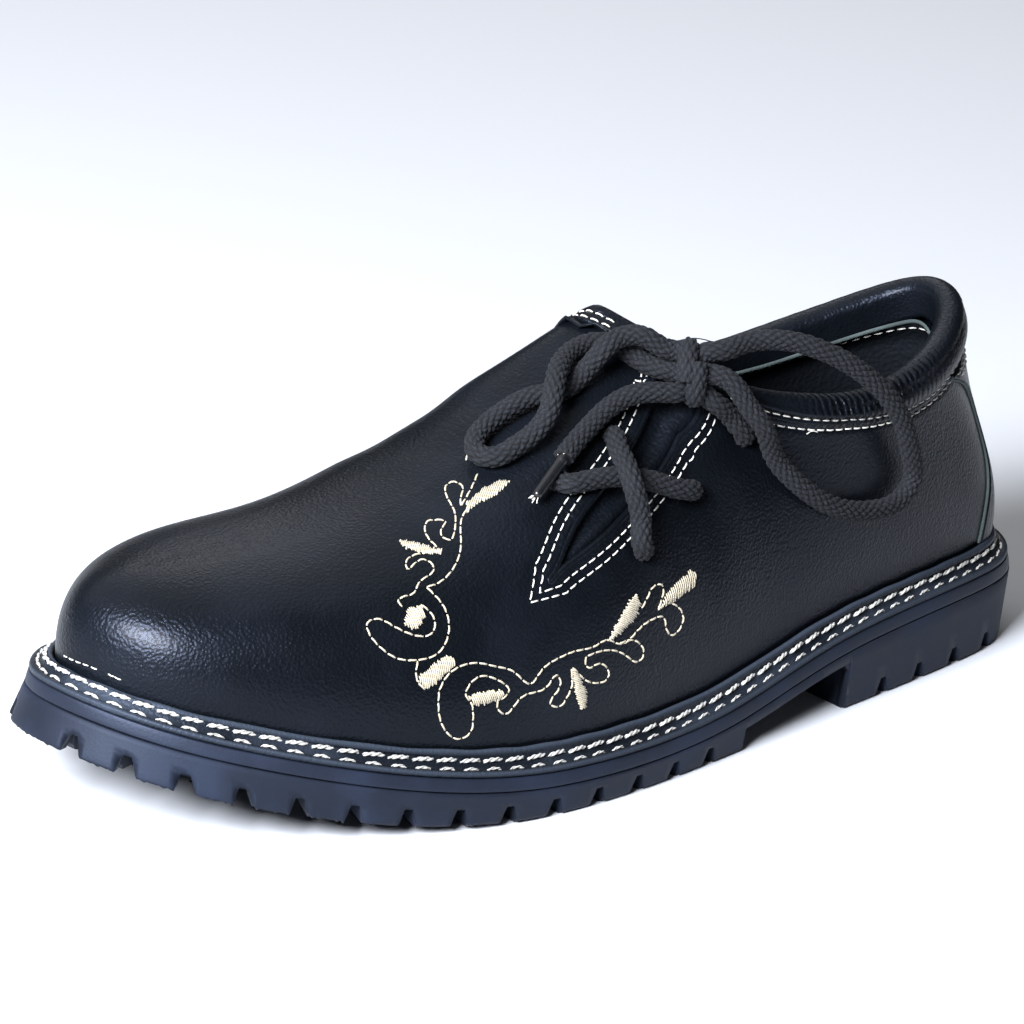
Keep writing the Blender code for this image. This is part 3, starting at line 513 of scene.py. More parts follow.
def finishedCalf(name, tone, mottleAndHighlight, grain, gloss, coat):
    # chrome-tanned calf, plated and waxed: fine pebbles with pores between them and a soft broad shine.
    # grain is the pebble's width in metres; where the attribute flex rises the leather has creased into
    # a coarser grain, pleats marks the short wrinkles 2 mm apart across the collar, and rubbed turns the
    # colour to the second tone: on the welt a paler band along its outer edge and a painted highlight along
    # the lip's crown
    made, tree, shader = newMaterial(name, IOR=1.30, Specular_IOR_Level=0.34, Coat_Weight=coat,
                                     Coat_Roughness=0.25, Specular_Tint=linear(colours["leatherShine"]))
    place = addNode(tree, "TexCoord", out="Object")
    broad = addNode(tree, "TexNoise", {"Vector": place, "Scale": 38.0, "Detail": 4.0})
    cells = addNode(tree, "TexVoronoi", {"Vector": place, "Scale": 1 / grain},
                    out="Distance", feature="SMOOTH_F1")
    pores = addNode(tree, "TexNoise", {"Vector": place, "Scale": 2.0 / grain, "Detail": 3.0})
    warp = addNode(tree, "VectorMath", {0: place, 1: (1.0, 0.35, 0.6)}, operation="MULTIPLY")
    coarse = addNode(tree, "TexVoronoi", {"Vector": warp, "Scale": 0.42 / grain},
                     out="Distance", feature="DISTANCE_TO_EDGE")
    flex = addNode(tree, "Attribute", out="Fac", attribute_name="flex")
    pleats = addNode(tree, "Attribute", out="Fac", attribute_name="pleats")
    wave = addNode(tree, "TexWave", {"Vector": place, "Scale": 2.0 / (6.28 * pleatWidth),
                                               "Distortion": 3.0, "Detail": 2.0, "Detail Scale": 2.0},
                   bands_direction="X")
    # where the colour turns to the second tone: on the welt a paler band along its outer edge and a painted
    # highlight along the lip's crown
    paleEdgeAndHighlight = addNode(tree, "Attribute", out="Fac", attribute_name="paleEdgeAndHighlight")
    mottled = addNode(tree, "MapRange", {"Value": broad, "From Min": 0.45, "From Max": 0.80})
    share = addNode(tree, "Math", {0: mottled, 1: paleEdgeAndHighlight}, operation="MAXIMUM")
    addNode(tree, "Mix", {0: share, 6: linear(colours[tone]), 7: linear(colours[mottleAndHighlight])},
            out=2, into=shader.inputs["Base Color"], data_type="RGBA")
    addNode(tree, "MapRange", {"Value": broad, "From Min": 0.3, "From Max": 0.7,
                                         "To Min": gloss - 0.05, "To Max": gloss + 0.07},
            into=shader.inputs["Roughness"])
    pebbles = addNode(tree, "Bump", {"Strength": 1.0, "Distance": grain * 0.24, "Height": cells})
    pitted = addNode(tree, "Bump", {"Strength": 0.5, "Distance": grain * 0.12, "Height": pores,
                                              "Normal": pebbles})
    creased = addNode(tree, "Bump", {"Strength": flex, "Distance": grain * 0.22, "Height": coarse,
                                               "Normal": pitted})
    addNode(tree, "Bump", {"Strength": pleats, "Distance": 0.0005, "Height": wave,
                                     "Normal": creased}, into=shader.inputs["Normal"])
    return made


def spunThread(name, tone, shade, ply, depth):
    # bonded polyester thread: matt, with painted shade in each ply's groove; ply is its width in metres
    made, tree, shader = newMaterial(name, Roughness=0.70, IOR=1.50, Sheen_Weight=0.2, Sheen_Roughness=0.5)
    place = addNode(tree, "TexCoord", out="Object")
    plies = addNode(tree, "TexNoise", {"Vector": place, "Scale": 1.0 / ply, "Detail": 2.0})
    share = addNode(tree, "MapRange", {"Value": plies, "From Min": 0.30, "From Max": 0.55,
                                                 "To Min": 1.0 - depth})
    addNode(tree, "Mix", {0: share, 6: linear(colours[shade]), 7: linear(colours[tone])},
            out=2, into=shader.inputs["Base Color"], data_type="RGBA")
    addNode(tree, "Bump", {"Strength": depth, "Distance": ply * 0.3, "Height": plies},
            into=shader.inputs["Normal"])
    return made


def polyesterBraid():
    # round braided polyester lace: matt black yarn with painted shade between the strands, where the
    # attribute ridge is low, and a few paler fibres 0.3 mm apart on the strands' tops
    made, tree, shader = newMaterial("polyesterBraid", Roughness=0.82, IOR=1.30, Sheen_Weight=0.02,
                                     Sheen_Roughness=0.45)
    place = addNode(tree, "TexCoord", out="Object")
    ridge = addNode(tree, "Attribute", out="Fac", attribute_name="ridge")
    fibre = addNode(tree, "TexNoise", {"Vector": place, "Scale": 3000.0, "Detail": 3.0})
    fleck = addNode(tree, "MapRange", {"Value": fibre, "From Min": 0.50, "From Max": 0.80})
    share = addNode(tree, "Math", {0: fleck, 1: ridge}, operation="MULTIPLY")
    # painted shade: the groove colour where the ridge is low, between the strands
    dark = addNode(tree, "Mix", {0: ridge, 6: linear(colours["laceGrooveShade"]),
                                           7: linear(colours["lace"])}, out=2, data_type="RGBA")
    addNode(tree, "Mix", {0: share, 6: dark, 7: linear(colours["laceFleck"])},
            out=2, into=shader.inputs["Base Color"], data_type="RGBA")
    addNode(tree, "Bump", {"Strength": 0.6, "Distance": 0.00015, "Height": fibre},
            into=shader.inputs["Normal"])
    return made


def mouldedRubber(name, tone, dust, roughness):
    # compression-moulded rubber: satin, faintly mottled over 15 mm, with a fine 0.7 mm skin
    made, tree, shader = newMaterial(name, IOR=1.40, Specular_Tint=linear(colours["leatherShine"]))
    place = addNode(tree, "TexCoord", out="Object")
    broad = addNode(tree, "TexNoise", {"Vector": place, "Scale": 65.0, "Detail": 5.0})
    fine = addNode(tree, "TexNoise", {"Vector": place, "Scale": 1400.0, "Detail": 2.0})
    share = addNode(tree, "MapRange", {"Value": broad, "From Min": 0.42, "From Max": 0.75})
    addNode(tree, "Mix", {0: share, 6: linear(colours[tone]), 7: linear(colours[dust])},
            out=2, into=shader.inputs["Base Color"], data_type="RGBA")
    addNode(tree, "MapRange", {"Value": broad, "From Min": 0.3, "From Max": 0.7,
                                         "To Min": roughness - 0.06, "To Max": roughness + 0.06},
            into=shader.inputs["Roughness"])
    addNode(tree, "Bump", {"Strength": 0.5, "Distance": 0.0001, "Height": fine},
            into=shader.inputs["Normal"])
    return made


def acetateFilm():
    # acetate film rolled hard round the lace's tip: smooth and shiny, with faint wraps 1 mm apart
    made, tree, shader = newMaterial("acetateFilm", Roughness=0.28, IOR=1.48)
    shader.inputs["Base Color"].default_value = linear(colours["aglet"])
    place = addNode(tree, "TexCoord", out="Object")
    wraps = addNode(tree, "TexNoise", {"Vector": place, "Scale": 1000.0, "Detail": 2.0})
    addNode(tree, "Bump", {"Strength": 0.4, "Distance": 0.0001, "Height": wraps},
            into=shader.inputs["Normal"])
    return made


calf = finishedCalf("finishedCalf", "leather", "leatherWorn", grain=0.00075, gloss=0.34, coat=0.06)
liningCalf = finishedCalf("liningCalf", "lining", "lining", grain=0.0012, gloss=0.60, coat=0.0)
cutEdge = finishedCalf("cutLeatherEdge", "liningEdge", "lining", grain=0.0006, gloss=0.75, coat=0.0)
weltLeather = finishedCalf("weltLeather", "welt", "weltEdgeAndHighlight", grain=0.0007, gloss=0.42, coat=0.0)
gussetCalf = finishedCalf("gussetCalf", "leather", "leatherWorn", grain=0.0010, gloss=0.42, coat=0.0)
insoleLeather = finishedCalf("insoleLeather", "insole", "lining", grain=0.0010, gloss=0.65, coat=0.0)
midsoleRubber = mouldedRubber("midsoleRubber", "midsole", "rubberDust", roughness=0.52)
treadRubber = mouldedRubber("treadRubber", "rubber", "rubberDust", roughness=0.64)
seamThread = spunThread("seamThread", "thread", "threadShade", ply=0.0006, depth=0.4)
weltThread = spunThread("weltThread", "ropeThread", "ropeShade", ply=0.0007, depth=0.7)
silkThread = spunThread("silkThread", "silk", "silkShade", ply=0.0020, depth=0.3)
laceBraid = polyesterBraid()
agletFilm = acetateFilm()


def cameraAxes():
    # right, up and backwards of the photograph's camera, rolled about its line of sight
    sight = unit(np.array(photo["target"]) - np.array(photo["place"]))
    level = unit(np.cross(sight, (0, 0, 1.0)))
    above = np.cross(level, sight)
    roll = math.radians(photo["roll"])
    right = math.cos(roll) * level + math.sin(roll) * above
    return right, np.cross(right, sight), -sight


def addCamera():
    # the photograph's camera: its lens is the focal length over the picture's width, times the sensor
    right, up, back = cameraAxes()
    data = bpy.data.cameras.new("photoCamera")
    data.sensor_width = photo["sensor"]
    data.lens = photo["focal"] * photo["sensor"]
    camera = bpy.data.objects.new("photoCamera", data)
    matrix = Matrix([list(row) for row in np.column_stack([right, up, back])]).to_4x4()
    camera.matrix_world = Matrix.Translation(photo["place"]) @ matrix
    bpy.context.scene.collection.objects.link(camera)
    bpy.context.scene.camera = camera


def addLight(name, place, aim, size, power, tone):
    # softbox: a rectangle turned from its place towards its aim
    data = bpy.data.lights.new(name, "AREA")
    data.shape = "RECTANGLE"
    data.size, data.size_y = size
    data.energy = power
    data.color = linear(tone)[:3]
    light = bpy.data.objects.new(name, data)
    light.location = place
    light.rotation_euler = (Vector(aim) - Vector(place)).to_track_quat("-Z", "Y").to_euler()
    bpy.context.scene.collection.objects.link(light)


# each softbox: place, aim, size, power in watts, colour
studio = {
    "surroundings": 0.05,
    "key": ((-1.28, -0.50, 0.88), (-0.12, 0, 0.05), (0.72, 0.52), 135, "#f2f6ff"),
    "fill": ((-0.25, -1.9, 1.30), (0.03, 0, 0.05), (0.9, 0.4), 0.8, "#f6f9ff"),
    "top": ((0.0, 0.80, 1.7), (0, 0.2, 0.0), (3.0, 2.6), 26, "#ffffff"),
    "back": ((0.95, 1.15, 0.85), (0, 0, 0.08), (0.7, 0.4), 1.5, "#f2f6ff"),
}


def addStudio():
    # the plain transform keeps the near-black leather as dark as the photograph has it
    bpy.context.scene.view_settings.view_transform = "Standard"
    world = bpy.data.worlds.new("studio")
    world.use_nodes = True
    background = world.node_tree.nodes["Background"]
    background.inputs[0].default_value = linear(colours["surroundings"])
    background.inputs[1].default_value = studio["surroundings"]
    bpy.context.scene.world = world
    for name in ("key", "fill", "top", "back"):
        addLight(name, *studio[name])
    floorMaterial, _, shader = newMaterial("paintedFloor", Roughness=0.85)
    shader.inputs["Base Color"].default_value = linear(colours["floor"])
    mesh = bpy.data.meshes.new("floor")
    mesh.from_pydata([(-6, -6, 0), (6, -6, 0), (6, 6, 0), (-6, 6, 0)], [], [(0, 1, 2, 3)])
    floor = bpy.data.objects.new("floor", mesh)
    mesh.materials.append(floorMaterial)
    bpy.context.scene.collection.objects.link(floor)


addCamera()
addStudio()
print("camera and studio made")


# the lace's routes in metres, the same points as the solids follow
laceRoutes = {
    "crossLow": (
        (-0.0245, -0.0299, 0.0746), (-0.0217, -0.0309, 0.0748), (-0.0147, -0.0320, 0.0752),
        (-0.0076, -0.0331, 0.0743), (-0.0005, -0.0342, 0.0723), (0.0070, -0.0353, 0.0694),
    ),
    "crossTop": (
        (-0.0083, -0.0289, 0.0802), (-0.0092, -0.0315, 0.0792), (-0.0108, -0.0363, 0.0768),
        (-0.0106, -0.0388, 0.0724), (-0.0093, -0.0400, 0.0659), (-0.0097, -0.0415, 0.0604),
    ),
    "stub": (
        (0.0208, -0.0295, 0.0882), (0.0240, -0.0295, 0.0860), (0.0270, -0.0292, 0.0836),
        (0.0298, -0.0296, 0.0804),
    ),
    "frontLoop": (
        (0.0143, -0.0211, 0.1000), (0.0127, -0.0200, 0.1003), (0.0075, -0.0167, 0.1034),
        (0.0025, -0.0140, 0.1030), (-0.0024, -0.0137, 0.1004), (-0.0050, -0.0123, 0.0966),
        (-0.0084, -0.0117, 0.0931), (-0.0136, -0.0115, 0.0910), (-0.0194, -0.0088, 0.0898),
        (-0.0256, -0.0071, 0.0873), (-0.0323, -0.0067, 0.0839), (-0.0371, -0.0085, 0.0812),
        (-0.0389, -0.0127, 0.0792), (-0.0365, -0.0158, 0.0792), (-0.0322, -0.0169, 0.0809),
        (-0.0275, -0.0180, 0.0838), (-0.0235, -0.0187, 0.0882), (-0.0202, -0.0168, 0.0932),
        (-0.0157, -0.0125, 0.0965), (-0.0094, -0.0078, 0.0979), (-0.0030, -0.0056, 0.0990),
        (0.0025, -0.0067, 0.0996), (0.0068, -0.0113, 0.0983), (0.0108, -0.0168, 0.0952),
        (0.0130, -0.0198, 0.0947), (0.0144, -0.0212, 0.0945),
    ),
    "backLoop": (
        (0.0213, -0.0264, 0.1001), (0.0230, -0.0272, 0.1001), (0.0307, -0.0275, 0.1008),
        (0.0410, -0.0302, 0.1011), (0.0514, -0.0342, 0.0981), (0.0630, -0.0372, 0.0914),
        (0.0732, -0.0382, 0.0826), (0.0809, -0.0368, 0.0728), (0.0857, -0.0348, 0.0645),
        (0.0880, -0.0335, 0.0572), (0.0845, -0.0338, 0.0531), (0.0768, -0.0348, 0.0518),
        (0.0691, -0.0354, 0.0527), (0.0608, -0.0358, 0.0551), (0.0528, -0.0355, 0.0593),
        (0.0464, -0.0346, 0.0643), (0.0405, -0.0333, 0.0705), (0.0365, -0.0342, 0.0765),
        (0.0330, -0.0353, 0.0815), (0.0288, -0.0339, 0.0870), (0.0242, -0.0318, 0.0934),
        (0.0216, -0.0299, 0.0949), (0.0201, -0.0287, 0.0951),
    ),
    "freeEnd": (
        (0.0118, -0.0252, 0.0906), (0.0101, -0.0245, 0.0907), (0.0065, -0.0231, 0.0909),
        (0.0018, -0.0214, 0.0906), (-0.0041, -0.0206, 0.0886), (-0.0118, -0.0222, 0.0854),
        (-0.0195, -0.0248, 0.0822), (-0.0242, -0.0268, 0.0802),
    ),
    "aglet": (
        (-0.0248, -0.0271, 0.0798), (-0.0347, -0.0294, 0.0726),
    ),
}
lace = {
    "diameter": 0.0050,
    "strands": 16,         # strands each way round the braid
    "crossing": 0.0029,    # length of one braid cell along the lace
    "relief": 0.00075,
    "ringStep": 0.00040,
    "sides": 64,
    "overLeather": 0.0008,   # height of its middle over a hole, and how far its end goes in
    "insideHole": 0.004,
    "insideTop": 0.0015,
}


def braidRelief(around, along):
    # two families of slanting strands over and under each other: a rounded ridge where one is on top
    first = around * lace["strands"] / 2 + along / lace["crossing"]
    second = around * lace["strands"] / 2 - along / lace["crossing"]
    a, b = first % 1.0, second % 1.0
    onTop = (np.floor(first) + np.floor(second)) % 2 < 1
    ridge = np.where(onTop, 1 - (2 * a - 1) ** 2, 1 - (2 * b - 1) ** 2)
    ends = np.where(onTop, 1 - 0.45 * (2 * b - 1) ** 4, 1 - 0.45 * (2 * a - 1) ** 4)
    return np.clip(ridge, 0, 1) ** 0.9 * ends


def addLaceRun(name, route):
    # braided tube: rings every step along the route, radius with the braid's relief
    diameter = lace["diameter"]
    length = arcLength(densify(route, 300))[-1]
    path = densify(route, max(12, int(length / lace["ringStep"])))
    forward = unit(np.gradient(path, axis=0))
    frameSide = np.empty_like(path)
    side = unit(np.cross(forward[0], (0.1, 0.2, 1.0)))
    for i, ahead in enumerate(forward):    # carried along without twist, so the braid stays straight
        side = unit(side - ahead * (side @ ahead))
        frameSide[i] = side
    up = np.cross(forward, frameSide)
    way = np.linspace(0, length, len(path))[:, None]
    around = np.arange(lace["sides"])[None, :] / lace["sides"]
    ridge = braidRelief(around, way)
    radius = diameter / 2 + lace["relief"] * (ridge - 0.75)
    turn = around * 2 * np.pi
    ring = frameSide[:, None] * np.cos(turn)[..., None] + up[:, None] * np.sin(turn)[..., None]
    points = path[:, None] + ring * radius[..., None]
    sides, steps = lace["sides"], len(path)
    walls = gridFaces(steps, sides, closeColumns=True)
    made = addPiece(name, points, [walls, tubeCaps(steps, sides)], laceBraid, turnOut=True)
    addValues(made, "ridge", ridge)
    return made, path, length


def holeEnd(name, depth):
    # two points that lead through a lace hole: just over the leather, then inside along the normal
    way, share = (np.array([value]) for value in laceHoles[name])
    place = plainUpper(way, share)[0]
    normal = upperNormal(way, share)[0]
    return np.array([place + normal * lace["overLeather"], place - normal * depth])


def knotEnd(point):
    # the loop's last point led on into the knot, level, towards its middle
    inward = unit((knot["centre"] - np.array(point)) * (1, 1, 0))
    return np.array(point) + inward * knot["grip"]


knot = {
    "centre": np.array((0.0170, -0.0252, 0.0950)),
    "across": np.array((0.772, -0.632, 0.066)),
    "upward": np.array((0.166, 0.301, 0.939)),
    "wrapHeight": 0.0062,   # half height of the wrapping turn, to the lace's middle
    "wrapDepth": 0.0040,    # half depth of it
    "wrapShift": 0.0012,    # how far its two hidden ends part sideways
    "grip": 0.0026,
}


def knotWrap():
    # one turn and a bit round the knot: centre + height cos(a) up + depth sin(a) forward
    forward = np.cross(knot["across"], knot["upward"])
    turn = np.radians(np.linspace(-110, 290, 60))[:, None]
    path = knot["centre"] + knot["wrapHeight"] * np.cos(turn) * knot["upward"]
    path = path - knot["wrapDepth"] * np.sin(turn) * forward
    return path + knot["across"] * knot["wrapShift"] * np.clip(turn - np.pi / 2, -4, 4) / np.pi


def addLaces():
    # the cross through the four lower holes, then the knot and the three free lengths of the bow
    routes = {name: np.array(points) for name, points in laceRoutes.items()}
    runs = (("laceLowerRun", "crossLow", "innerLow", "outerMiddle"),
            ("laceUpperRun", "crossTop", "innerMiddle", "outerLow"))
    inside = lace["insideHole"]
    for name, route, first, last in runs:
        path = np.vstack([holeEnd(first, inside)[::-1], routes[route], holeEnd(last, inside)])
        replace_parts(addLaceRun(name, path)[0], "lace_crossing")
    wrap = addLaceRun("laceKnotWrap", knotWrap())[0]
    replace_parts(wrap, "lace_knot")
    loop = routes["backLoop"]
    route = np.vstack([holeEnd("outerTop", lace["insideTop"])[::-1], routes["stub"][::-1], knot["centre"],
                       loop, knotEnd(loop[-1])])
    back, path, length = addLaceRun("laceBackLoop", route)
    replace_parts(back, "lace_stub", "lace_loop_back")
    loop = routes["frontLoop"]
    route = np.vstack([knotEnd(loop[0]), loop, knotEnd(loop[-1])])
    front, path, length = addLaceRun("laceFrontLoop", route)
    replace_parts(front, "lace_loop_front")
    tip = addAglet()
    route = np.vstack([knotEnd(routes["freeEnd"][0]), routes["freeEnd"]])
    end, path, length = addLaceRun("laceFreeEnd", route)
    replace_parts(end, "lace_end")


laceTip = {
    "radius": 0.0016,        # of the aglet where it leaves the lace
    "taper": 0.0003,         # how much thinner it is at its point
    "rim": 0.0002,           # swelling of the film's edge
    "fibres": 7,             # at each of its ends
    "fibreLengths": (0.0010, 0.0022),
    "fibreRadius": 0.00013,
}


def addAglet():
    # hard tip: a tube from inside the lace's end, tapering evenly to a blunt point, with a bell-shaped
    # rim where the lace's end goes in
    points = np.array(laceRoutes["aglet"])
    points = np.vstack([points[0] - (points[1] - points[0]) * 0.12, points])
    path = densify(points, 30)
    share = np.linspace(0, 1, 30)
    radius = laceTip["radius"] - laceTip["taper"] * share
    radius = radius + laceTip["rim"] * np.exp(-((share - 0.12) / 0.04) ** 2)
    radius = radius * np.sqrt(np.clip((1.0 - share) / 0.05, 0.08, 1))
    made = addTubes("laceAglet", path[None], np.array([0, -0.6, 0.8]), radius[None], agletFilm, sides=20)
    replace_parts(made, "aglet")
    return made


stray = {
    "span": 0.0105,
    "height": 0.0071,        # of its ends over the knot's centre
    "rise": 0.0013,
    "radius": 0.00014,
}


def addStrayThread():
    # thin loose end that arches over the knot: half a sine over the knot's width
    share = np.linspace(0, 1, 24)[:, None]
    reach = (share - 0.45) * stray["span"]
    height = stray["height"] + stray["rise"] * np.sin(share * np.pi) ** 0.8
    path = knot["centre"] + knot["across"] * reach + knot["upward"] * height
    made = addTubes("strayThread", path[None], np.array([0, -1.0, 0.2]), stray["radius"], laceBraid)


def addFray():
    # white core fibres that stick out at both ends of the aglet: short tubes, each leaning its own way
    points = np.array(laceRoutes["aglet"])
    ahead = unit(points[-1] - points[0])
    count = laceTip["fibres"]
    paths = []
    for spot, sign in ((points[0] + ahead * 0.0004, -1), (points[-1] - ahead * 0.0006, 1)):
        lean = rng.uniform(-1, 1, (count, 3)) * 0.55
        start = spot + (lean - (lean @ ahead)[:, None] * ahead) * laceTip["radius"]
        aim = unit(ahead * sign + lean * 0.8)
        share = np.linspace(0, 1, 4)[None, :, None]
        reach = rng.uniform(*laceTip["fibreLengths"], (count, 1, 1))
        paths.append(start[:, None] + aim[:, None] * share * reach)
    made = addTubes("agletFray", np.concatenate(paths), np.array([0, -0.6, 0.8]), laceTip["fibreRadius"],
                    seamThread, sides=5)


addLaces()
addStrayThread()
addFray()
print("laces made")


# distance of the two stitch rows under the top edge: share of the way round, then metres
collarRows = {
    "upper": ((0.270, 0.0018), (0.306, 0.0020), (0.330, 0.0026), (0.380, 0.0030), (0.400, 0.0044),
              (0.412, 0.0056), (0.430, 0.0066), (0.501, 0.0068)),
    "lower": ((0.270, 0.0039), (0.306, 0.0041), (0.330, 0.0056), (0.380, 0.0057), (0.400, 0.0070),
              (0.416, 0.0086), (0.430, 0.0091), (0.501, 0.0092)),
}
leather = {
    "stations": 400,
    "rows": 100,
    "thickness": 0.0006,    # of the skin itself; the lining stands behind it
    "band": 0.0007,         # how far the collar band stands over the vamp
    "puff": 0.0011,         # how far its padding swells over the upper stitch row
    "foldedEdge": 0.0006,   # rise of the leather along the throat's folded edges
    "foldRadius": 0.0010,
    "foldWidth": 0.0030,
    "stitchDip": 0.00030,
    "stitchWidth": 0.0008,
    "holeDip": 0.0012,      # how far the laces pull the leather in at the holes
    "holeWidth": 0.0027,
    "waviness": 0.00016,
    "crease": 0.00012,      # height of the flex folds over the toes' joint
    "crestRows": 22,        # rows beside the crest that are rounded into each other, and how often
    "crestRounds": 60,
    "crestFade": (0.80, 0.97),       # shares of the crest's way over which that fades towards the flap
    "flapReach": (0.014, 0.036),     # distances from the flap's middle over which its smoothing fades
    "throatKeep": (0.004, 0.010),    # distances from the throat's edge over which it sets in
    "flapRounds": 70,
    "rollRows": 11,
    "rollRise": 0.75,       # height of the rolled edge as a share of half its thickness
    "flapRoll": 0.0036,     # thickness of the flap's roll
    "tuck": 0.0075,         # how far the roll runs down inside
}


def collarPoint(turn):
    # the top edge behind the flap as a closed curve: 0 and 1 at the middle of the flap
    rows = np.array(collar)
    over = spline(rows[:, 0], rows[:, 1:], np.asarray(turn) % 1.0)[0]
    return over * (shoe["soleLength"] / 2, shoe["ballWidth"] / 2, shoe["collarHeight"])


def sideWay(way):
    # way from the toe's tip to the nearer side, 0 to 0.5
    return np.minimum(way % 1.0, 1 - way % 1.0)


def rowDistance(name, way):
    # metres from the top edge down to a stitch row, straight between the table's rows
    rows = np.array(collarRows[name])
    return np.interp(sideWay(way), rows[:, 0], rows[:, 1])


flapWay = shoe["flapWay"]
rimLine = collarPoint(np.linspace(0, 1, 900))
innerEdge, outerEdge = throatEdges()
throatLine = np.vstack([plainUpper(*innerEdge.T)[::-1], plainUpper(*outerEdge.T)])
sheet = np.array([perimeter, 0.12])    # metres that the whole way round and the whole height stand for


def rowOnUpper(name, ways):
    # the place on each section at the row's distance under the top edge, where there is one
    ways = np.asarray(ways, float)
    wanted = rowDistance(name, ways)
    high = halving(np.full(len(ways), 0.5), np.ones(len(ways)), 18,
                   lambda middle: nearest(plainUpper(ways, middle), rimLine) > wanted)[1]
    reached = nearest(plainUpper(ways, np.ones(len(ways))), rimLine) <= wanted + 2e-4
    return ways[reached], high[reached]


throatSeams = (0.0026, 0.0049)   # metres from the throat's edge to its two stitch rows
throatTop = 0.93                 # height share where they run under the binding


def besideThroat(edge, side, distance):
    # line beside the edge: its sideways step on the surface is solved for way and height share from
    # the surface's own steps in both, by least squares
    way, share = edge[edge[:, 1] < throatTop][::4].T
    place, normal = plainUpper(way, share), upperNormal(way, share)
    step = 1e-3
    byWay = (plainUpper(way + step, share) - plainUpper(way - step, share)) / (2 * step)
    byShare = (plainUpper(way, share + step) - plainUpper(way, share - step)) / (2 * step)
    aside = unit(np.cross(unit(np.gradient(place, axis=0)), normal)) * side * distance
    aa, bb, ab = (byWay ** 2).sum(1), (byShare ** 2).sum(1), (byWay * byShare).sum(1)
    ra, rb = (byWay * aside).sum(1), (byShare * aside).sum(1)
    det = aa * bb - ab ** 2
    return np.column_stack([way + (ra * bb - rb * ab) / det, share + (rb * aa - ra * ab) / det])


def throatRow(distance):
    # both sides' lines, meeting in a corner ahead of the slit at 1.65 times their distance from it
    inner = besideThroat(innerEdge, -1, distance) * sheet
    outer = besideThroat(outerEdge, 1, distance) * sheet
    point = (innerEdge[0] + outerEdge[0]) / 2 * sheet
    ahead = point - (innerEdge[40] + outerEdge[40]) / 2 * sheet
    tip = point + ahead / np.linalg.norm(ahead) * distance * 1.65
    return np.concatenate([inner[:1:-1], tip[None], outer[2:]]) / sheet


def bell(distance, width):
    # 1 at no distance, falling as e to the minus (distance over width) squared
    return np.exp(-(distance / width) ** 2)


def relief(place, way, share):
    # height along the normal: the collar band and its padding, less a bell-shaped dip under each stitch
    # row and hole, plus the throat's raised edge, three slow waves and the flex folds
    rimGap = nearest(place, rimLine)
    upper, lower = rowDistance("upper", way), rowDistance("lower", way)
    step = (upper + lower) / 2
    beyond = smoothstep(flapWay + 0.012, flapWay + 0.034, sideWay(way))    # the flap has its own binding
    out = leather["band"] * beyond * (1 - smoothstep(step - 0.0003, step + 0.0004, rimGap))
    ankle = smoothstep(flapWay + 0.03, flapWay + 0.07, sideWay(way))
    out = out + leather["puff"] * ankle * np.sin(np.pi * np.clip(rimGap / upper, 0, 1)) ** 0.8
    for row in (upper, lower):
        out = out - leather["stitchDip"] * beyond * bell(rimGap - row, leather["stitchWidth"])
    edgeGap = nearest(place, throatLine)
    near = edgeGap < 0.02
    out = out + leather["foldedEdge"] * bell(edgeGap, leather["foldWidth"])
    for line in throatRowLines:
        dip = bell(nearest(place, line), leather["stitchWidth"])
        out = out - leather["stitchDip"] * np.where(near, dip, 0)
    for spot in holeSpots:
        out = out - leather["holeDip"] * bell(np.linalg.norm(place - spot, axis=-1), leather["holeWidth"])
    x, y, z = np.moveaxis(place, -1, 0)
    wave = np.sin(61 * x + 40 * z) * np.sin(83 * y - 37 * z + 1.3) + 0.6 * np.sin(127 * x - 95 * y + 71 * z)
    crease = np.sin(330 * x + 150 * z + 2 * np.sin(60 * y)) * bell(x + 0.035, 0.022)
    out = out + (leather["waviness"] * wave + leather["crease"] * crease) * smoothstep(0.05, 0.25, share)
    return out


throatRows = [throatRow(distance) for distance in throatSeams]
throatRowLines = [evenly(plainUpper(way, np.minimum(share, 1.0)), 500) for way, share in
                  (row.T for row in throatRows)]
holeSpots = [plainUpper(np.array([way]), np.array([share]))[0] for way, share in laceHoles.values()]


def leatherAt(way, share, lift=0.0):
    # finished outer surface: the plain upper moved out along its normal by the relief, and the normal
    place = plainUpper(way, share)
    normal = upperNormal(way, share)
    return place + normal * (relief(place, way, share) + lift)[..., None], normal


def insidePolygon(points, polygon):
    # even-odd rule for all points at once, one side of the polygon at a time
    x, y = points[..., 0], points[..., 1]
    inside = np.zeros(x.shape, bool)
    for (x0, y0), (x1, y1) in zip(polygon, np.roll(polygon, -1, axis=0)):
        crosses = ((y0 > y) != (y1 > y)) & (x < (x1 - x0) * (y - y0) / (y1 - y0 + 1e-15) + x0)
        inside ^= crosses
    return inside


def snapTo(points, line):
    # each point moved to the closest place on a polyline
    start, along = line[:-1], np.diff(line, axis=0)
    share = np.clip(((points[:, None] - start) * along).sum(-1) / (along ** 2).sum(-1), 0, 1)
    spot = start + along * share[..., None]
    best = ((points[:, None] - spot) ** 2).sum(-1).argmin(1)
    return spot[np.arange(len(points)), best]


